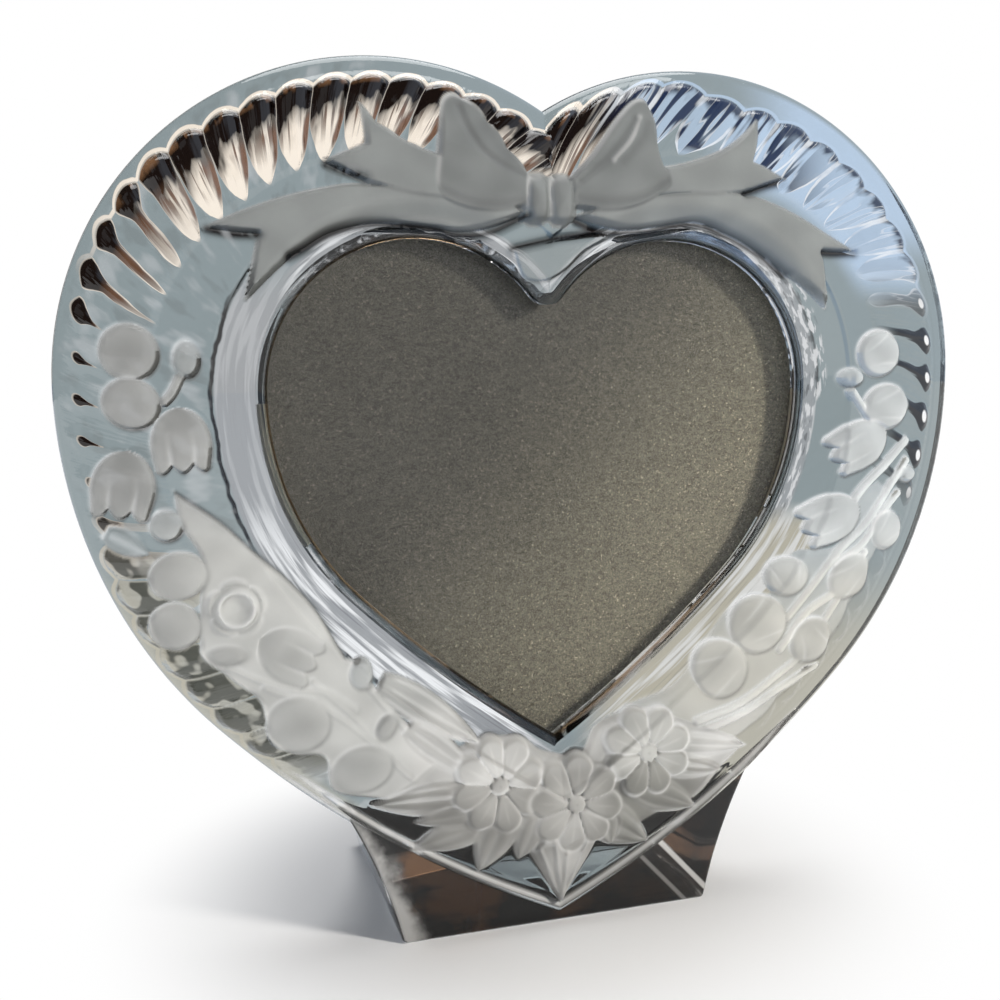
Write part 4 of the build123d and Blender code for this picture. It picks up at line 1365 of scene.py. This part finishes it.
def ringColour(f, ground):
    # painted reflections: bright and dark streaks that run round the window, a dark line at the bevel's outer
    # step as painted shade, painted glinting beads, and dark spots along the right edge
    k = ringPaint
    reach, run, shine = f.fields("ringPath")
    line, beaded, edged = f.fields("ringZone")

    def noise(name):
        across, along, seed, detail = k[name]
        return f.noiseAt(reach * across, run * along, seed, detail)

    def streak(name, value, share, colour):
        return f.mix(f.ease(*k[name], value) * share * k[name + "Share"], colour, k[name + "Tint"])

    colour = streak("light", noise("wide"), shine, ground)
    colour = streak("dark", noise("fine"), shine, colour)
    bent = reach + (noise("bend") - 0.5) * k["bendBy"]
    colour = f.mix(f.ease(*k["lineIn"], bent) * f.ease(*k["lineOut"], bent) * line, colour, k["lineTint"])
    bead = noise("bead")
    colour = streak("beadLight", bead, beaded, colour)
    colour = streak("beadDark", bead, beaded, colour)
    along, second, third, detail = k["spot"]
    spots = f.ease(*k["spots"], f.noiseAt(run * along, second, third, detail))
    return f.mix(spots * edged * k["spotShare"], colour, k["spotTint"])


# Glass, clear and acid frosted
glassLook = {
    "ior": 1.52, "clearRoughness": 0.012, "cloudRoughness": 0.006, "bumps": 0.5, "waveDepth": 0.0006,
    "cloud": 190.0, "cloudShare": 0.25, "clouded": (0.8, 0.8, 0.8),
    "frostRoughness": 0.5, "frostCloud": 0.16, "frostClear": 0.45, "frostGloss": 0.15,
    "grain": 1400.0, "grainDepth": 0.00003, "frostCloudShare": 0.7, "frostClouded": (0.72, 0.72, 0.71),
}
# Foot, painted reflections: light lines as painted highlights, given as shares of x and z with an offset in
# metres, and painted brown reflections in its depths
footLook = {
    "left": (0.925, 0.383, 0.0261), "right": (0.740, 0.672, -0.0239), "gap": 0.0045,
    "line": (0.0008, 0.0003), "second": (0.0007, 0.0002), "secondShare": 0.6,
    "facetIn": (-0.006, -0.0045), "facetOut": (0.0, -0.001), "facetShare": 0.12,
    "sideLight": (0.0045, 0.0), "sideUneven": 0.006, "lineFrost": 0.8,
    "warm": (75.0, 4.0, (1.0, 1.0, 1.6)), "warmSpan": (0.44, 0.64), "warmLeft": (0.016, -0.004),
    "warmLeast": 0.25,
    "streak": (150.0, 3.0, (1.0, 1.0, 0.2)), "streakSpan": (0.62, 0.74), "streakShare": 0.6,
    "deepBrownReflection": (0.075, 0.022, 0.006), "shine": (0.22, 0.20, 0.17),
    "brown": (0.45, 0.20, 0.085), "dark": (0.035, 0.032, 0.030), "light": (0.85, 0.84, 0.82),
}


def footMarks(f, cloud):
    # painted highlight lines in the foot, and how much painted brown reflection and streak it has
    k = footLook
    warm, streak = (f.ease(*k[name + "Span"], f.noise(*k[name])) for name in ("warm", "streak"))
    x, z = f.place()
    warm = warm * (k["warmLeast"] + f.ease(*k["warmLeft"], x) * (1 - k["warmLeast"]))
    left, right = (x * k[name][0] + z * k[name][1] + k[name][2] for name in ("left", "right"))
    lines = f.ease(*k["line"], abs(right)) | (f.ease(*k["second"], abs(right + k["gap"])) * k["secondShare"])
    facet = f.ease(*k["facetIn"], right) * f.ease(*k["facetOut"], right) * k["facetShare"]
    lines = lines | facet | f.ease(*k["sideLight"], left + (cloud - 0.5) * k["sideUneven"])
    return lines, warm, streak * k["streakShare"]


def crystalFinish():
    k, p = glassLook, footLook
    f = Finish("crystal")
    frost, onFoot = f.reading("frost"), f.reading("foot")
    cloud, grain = f.noise(k["cloud"], 3.0), f.noise(k["grain"], 2.0)
    lines, warm, streak = footMarks(f, cloud)
    frost = frost | (lines * onFoot * p["lineFrost"])
    tint, waves = fluteColour(f, ringColour(f, f.tint("glassTint")))
    # the foot's face: painted brown reflections and painted highlight lines over its tint
    depths = f.mix(streak, f.mix(warm, tint, p["deepBrownReflection"]), p["shine"])
    tint = f.mix(onFoot, tint, f.mix(lines, depths, p["shine"]))
    f.give(colour=f.mix(cloud * k["cloudShare"], tint, f.mix(1.0, tint, k["clouded"], "MULTIPLY")),
           roughness=k["clearRoughness"] + cloud * k["cloudRoughness"], clear=1.0, ior=k["ior"],
           normal=f.bump(waves, k["bumps"], k["waveDepth"]))
    bare = f.shader()
    f.surface = f.tree.nodes.new("ShaderNodeBsdfPrincipled")
    tint = f.tint("frostTint")
    tint = f.mix(cloud * k["frostCloudShare"], tint, f.mix(1.0, tint, k["frostClouded"], "MULTIPLY"))
    # painted brown reflections and highlight lines in the foot's frost
    depths = f.mix(lines, f.mix(warm, p["dark"], p["brown"]), p["light"])
    f.give(colour=f.mix(onFoot, tint, depths),
           roughness=k["frostRoughness"] + (cloud - 0.5) * k["frostCloud"], clear=k["frostClear"],
           ior=k["ior"], specular=k["frostGloss"],
           normal=f.bump(grain, k["bumps"], k["grainDepth"]))
    return f.cover(frost, bare, f.shader())


wear(crystal, crystalFinish())

# Flock lining that shows in the window, with painted light that makes it lighter towards the lower right
flockLook = {
    "dark": (0.026, 0.025, 0.021), "mid": (0.086, 0.083, 0.069), "fleck": (0.36, 0.33, 0.27),
    "paintedLight": (3.33, 3.2, 2.8), "paintedLightSpan": (-0.115, -0.03), "paintedLightShare": 0.75,
    "fibre": (3300.0, 3.0, (1.0, 1.0, 1.0), 0.6), "rib": (2000.0, 2.0, (0.55, 1.0, 1.0)), "ribShare": 0.35,
    "weave": ((0.40, 0.0), (0.60, 1.0)), "weaveLeast": 0.08, "weaveShare": 0.75,
    "cloud": 34.0, "cloudMiddle": 0.45, "cloudShare": 0.35,
    "flecks": 2600.0, "fleckSpan": ((0.66, 0.0), (0.74, 1.0)), "fleckShare": 0.35,
    "roughness": 0.9, "gloss": 0.2, "sheen": 0.05, "sheenRoughness": 0.5, "bumps": 0.6, "pile": 0.0002,
}


def flockFinish():
    k = flockLook
    f = Finish("flock")
    fibre, rib = f.noise(*k["fibre"]), f.noise(*k["rib"])
    cloud = f.noise(k["cloud"])
    fleck = f.ramp(f.noise(k["flecks"], 1.0), *k["fleckSpan"])
    weave = f.ramp(fibre * (1 - k["ribShare"]) + rib * k["ribShare"], *k["weave"])
    share = k["weaveLeast"] + weave * k["weaveShare"] + (cloud - k["cloudMiddle"]) * k["cloudShare"]
    colour = f.mix(share, k["dark"], k["mid"])
    colour = f.mix(fleck * k["fleckShare"], colour, k["fleck"])
    # painted light: lighter towards the lower right, where the lamp's light falls
    x, z = f.place()
    paintedLight = f.ease(*k["paintedLightSpan"], x - z) * k["paintedLightShare"]
    colour = f.mix(paintedLight, colour, f.mix(1.0, colour, k["paintedLight"], "MULTIPLY"))
    return f.give(colour=colour, roughness=k["roughness"], specular=k["gloss"], sheen=k["sheen"],
                  sheenRoughness=k["sheenRoughness"], normal=f.bump(fibre, k["bumps"], k["pile"]))


wear(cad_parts["front_lining"], flockFinish())

# Greyboard of the back panel
boardLook = {"light": (0.36, 0.34, 0.30), "dark": (0.22, 0.21, 0.185), "fibre": (500.0, 4.0, (1.0, 1.0, 0.3)),
             "roughness": 0.9, "bumps": 0.4, "depth": 0.0001}


def boardFinish():
    k = boardLook
    f = Finish("greyboard")
    fibre = f.noise(*k["fibre"])
    return f.give(colour=f.mix(fibre, k["dark"], k["light"]), roughness=k["roughness"],
                  normal=f.bump(fibre, k["bumps"], k["depth"]))


wear(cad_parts["backing_board"], boardFinish())

# Spring strip, bronzed steel with drawn lines
steelLook = {"light": (0.92, 0.82, 0.64), "dark": (0.70, 0.60, 0.44),
             "lines": (2500.0, 2.0, (1.0, 1.0, 0.03)), "blotch": 120.0, "lineShare": 0.5,
             "metallic": 0.2, "roughness": 0.38, "uneven": 0.2, "bumps": 0.2, "depth": 0.00003}


def steelFinish():
    k = steelLook
    f = Finish("springSteel")
    lines, blotch = f.noise(*k["lines"]), f.noise(k["blotch"])
    share = lines * k["lineShare"] + blotch * (1 - k["lineShare"])
    return f.give(colour=f.mix(share, k["dark"], k["light"]), metallic=k["metallic"],
                  roughness=k["roughness"] + lines * k["uneven"],
                  normal=f.bump(lines, k["bumps"], k["depth"]))


wear(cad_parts["spring_strip"], steelFinish())

# Velvet paper over the back
velvetLook = {"dark": (0.012, 0.012, 0.014), "worn": (0.05, 0.05, 0.055), "pile": 1300.0, "pileShare": 0.4,
              "rubs": 35.0, "rubSpan": ((0.45, 0.0), (0.75, 1.0)), "rubShare": 0.5, "roughness": 0.95,
              "gloss": 0.1, "sheen": 0.6, "sheenRoughness": 0.35, "bumps": 0.7, "depth": 0.00015}


def velvetFinish():
    k = velvetLook
    f = Finish("velvet")
    pile = f.noise(k["pile"])
    rubbed = f.ramp(f.noise(k["rubs"]), *k["rubSpan"])
    share = pile * k["pileShare"] + rubbed * k["rubShare"]
    return f.give(colour=f.mix(share, k["dark"], k["worn"]), roughness=k["roughness"], specular=k["gloss"],
                  normal=f.bump(pile, k["bumps"], k["depth"]), sheen=k["sheen"],
                  sheenRoughness=k["sheenRoughness"])


wear(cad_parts["velvet_back"], velvetFinish())

# Clear cover sheet, thin enough to show only its gloss and a faint haze
coverLook = {"tint": (0.9, 0.92, 0.92), "haze": 0.012, "smearAndReflectionWaves": 0.012, "smears": 30.0,
             "roughness": 0.06, "uneven": 0.1, "ior": 1.49}


def coverFinish():
    k = coverLook
    f = Finish("clearCover")
    smearAndReflectionWaves = f.noise(k["smears"])
    return f.give(colour=paint(k["tint"]), roughness=k["roughness"] + smearAndReflectionWaves * k["uneven"],
                  alpha=k["haze"] + smearAndReflectionWaves * k["smearAndReflectionWaves"], ior=k["ior"])


wear(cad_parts["photo_cover"], coverFinish())
print("finishes ready")

# Studio: pale floor that runs into a white background, soft lamps and a plain room
studio = {
    "floor": (0.86, 0.86, 0.86), "floorDim": (0.83, 0.83, 0.83), "floorSize": 3.0, "floorSides": 96,
    "floorCloud": (6.0, 2.0), "cloudShare": 0.2, "floorRoughness": 0.8, "floorGloss": 0.1,
    "fade": (0.034, 0.088),  # metres from the middle, from the shadowed floor to white
    "white": (1.0, 1.0, 1.0), "room": (0.09, 0.098, 0.115),
    "dark": (0.035, 0.028, 0.022), "window": (0.62, 0.72, 0.86), "windowSpan": (-0.15, 0.6),
    "panelWay": (0.28, 0.955, -0.10), "panelSpan": (0.74, 0.87),
    "lampAim": (0.0, 0.0, 0.08),
}
lamps = {  # place in metres, size, watts, colour, and whether its mirror spot shows in the glass
    "key": ((0.34, -0.36, 0.27), 0.09, 3.0, (1.0, 0.96, 0.90), False),
    "fill": ((-0.75, -0.55, 0.60), 0.70, 0.4, (0.94, 0.97, 1.0), True),
    "top": ((0.05, 0.10, 0.85), 0.60, 3.4, (1.0, 1.0, 1.0), True),
}
view = {"place": (-69.63, -226.49, 105.46), "yaw": 16.2, "pitch": 6.6, "roll": -1.2, "lens": 43.2,
        "sensor": 36.0, "nearest": 0.01}


def lightPath(f):
    # whether a ray comes from the camera, from a mirror or through glass
    return [f.node("LightPath", out=i) for i in (0, 3, 6)]


def makeFloor():
    k = studio
    work = bmesh.new()
    bmesh.ops.create_circle(work, cap_ends=True, segments=k["floorSides"], radius=k["floorSize"])
    mesh = bpy.data.meshes.new("floor")
    work.to_mesh(mesh)
    work.free()
    made = bpy.data.objects.new("floor", mesh)
    bpy.context.scene.collection.objects.link(made)
    f = Finish("floor")
    f.give(colour=f.mix(f.noise(*k["floorCloud"]) * k["cloudShare"], k["floor"], k["floorDim"]),
           roughness=k["floorRoughness"], specular=k["floorGloss"])
    radius = f.node("VectorMath", {"operation": "LENGTH"}, {0: f.node("TexCoord", out=3)}, out=1)
    camera, glossy, through = lightPath(f)
    share = f.ease(*k["fade"], radius) * (camera | glossy | through)
    white = f.node("Emission", None, {"Color": paint(k["white"]), "Strength": 1.0})
    wear(made, f.cover(share, f.shader(), white))


def makeWorld():
    k = studio
    world = bpy.data.worlds.new("studio")
    bpy.context.scene.world = world
    world.use_nodes = True
    f = Finish("studio", world.node_tree)
    way = f.node("TexCoord", out=0)
    x = f.node("SeparateXYZ", None, {0: way}, out=0)
    facing = f.node("VectorMath", {"operation": "DOT_PRODUCT"}, {0: way, 1: k["panelWay"]}, out=1)
    camera, glossy, through = lightPath(f)
    walls = f.mix(f.ease(*k["windowSpan"], x), k["dark"], k["window"])
    shown = f.mix(f.ease(*k["panelSpan"], facing), walls, k["white"])
    colour = f.mix(glossy | through, k["room"], shown)
    ground = world.node_tree.nodes["Background"]
    plug(f.tree, ground.inputs["Color"], f.mix(camera, colour, k["white"]))
    plug(f.tree, ground.inputs["Strength"], 1.0)


def makeLamps():
    for name, (spot, size, watts, colour, mirrored) in lamps.items():
        light = bpy.data.lights.new(name, "AREA")
        light.shape, light.size, light.energy, light.color = "DISK", size, watts, colour
        lamp = bpy.data.objects.new(name, light)
        lamp.location = spot
        lamp.visible_glossy = lamp.visible_transmission = mirrored
        aim = Vector(studio["lampAim"]) - Vector(spot)
        lamp.rotation_euler = aim.to_track_quat("-Z", "Y").to_euler()
        bpy.context.scene.collection.objects.link(lamp)


def makeCamera():
    data = bpy.data.cameras.new("camera")
    data.lens, data.sensor_width, data.clip_start = view["lens"], view["sensor"], view["nearest"]
    cam = bpy.data.objects.new("camera", data)
    turn = Euler((radians(90 - view["pitch"]), 0.0, radians(-view["yaw"]))).to_matrix().to_4x4()
    roll = Matrix.Rotation(radians(view["roll"]), 4, "Z")
    cam.matrix_world = Matrix.Translation(Vector(view["place"]) * mm) @ turn @ roll
    bpy.context.scene.collection.objects.link(cam)
    bpy.context.scene.camera = cam


makeFloor()
makeWorld()
makeLamps()
makeCamera()
bpy.context.scene.view_settings.view_transform = "Standard"
print("studio ready")
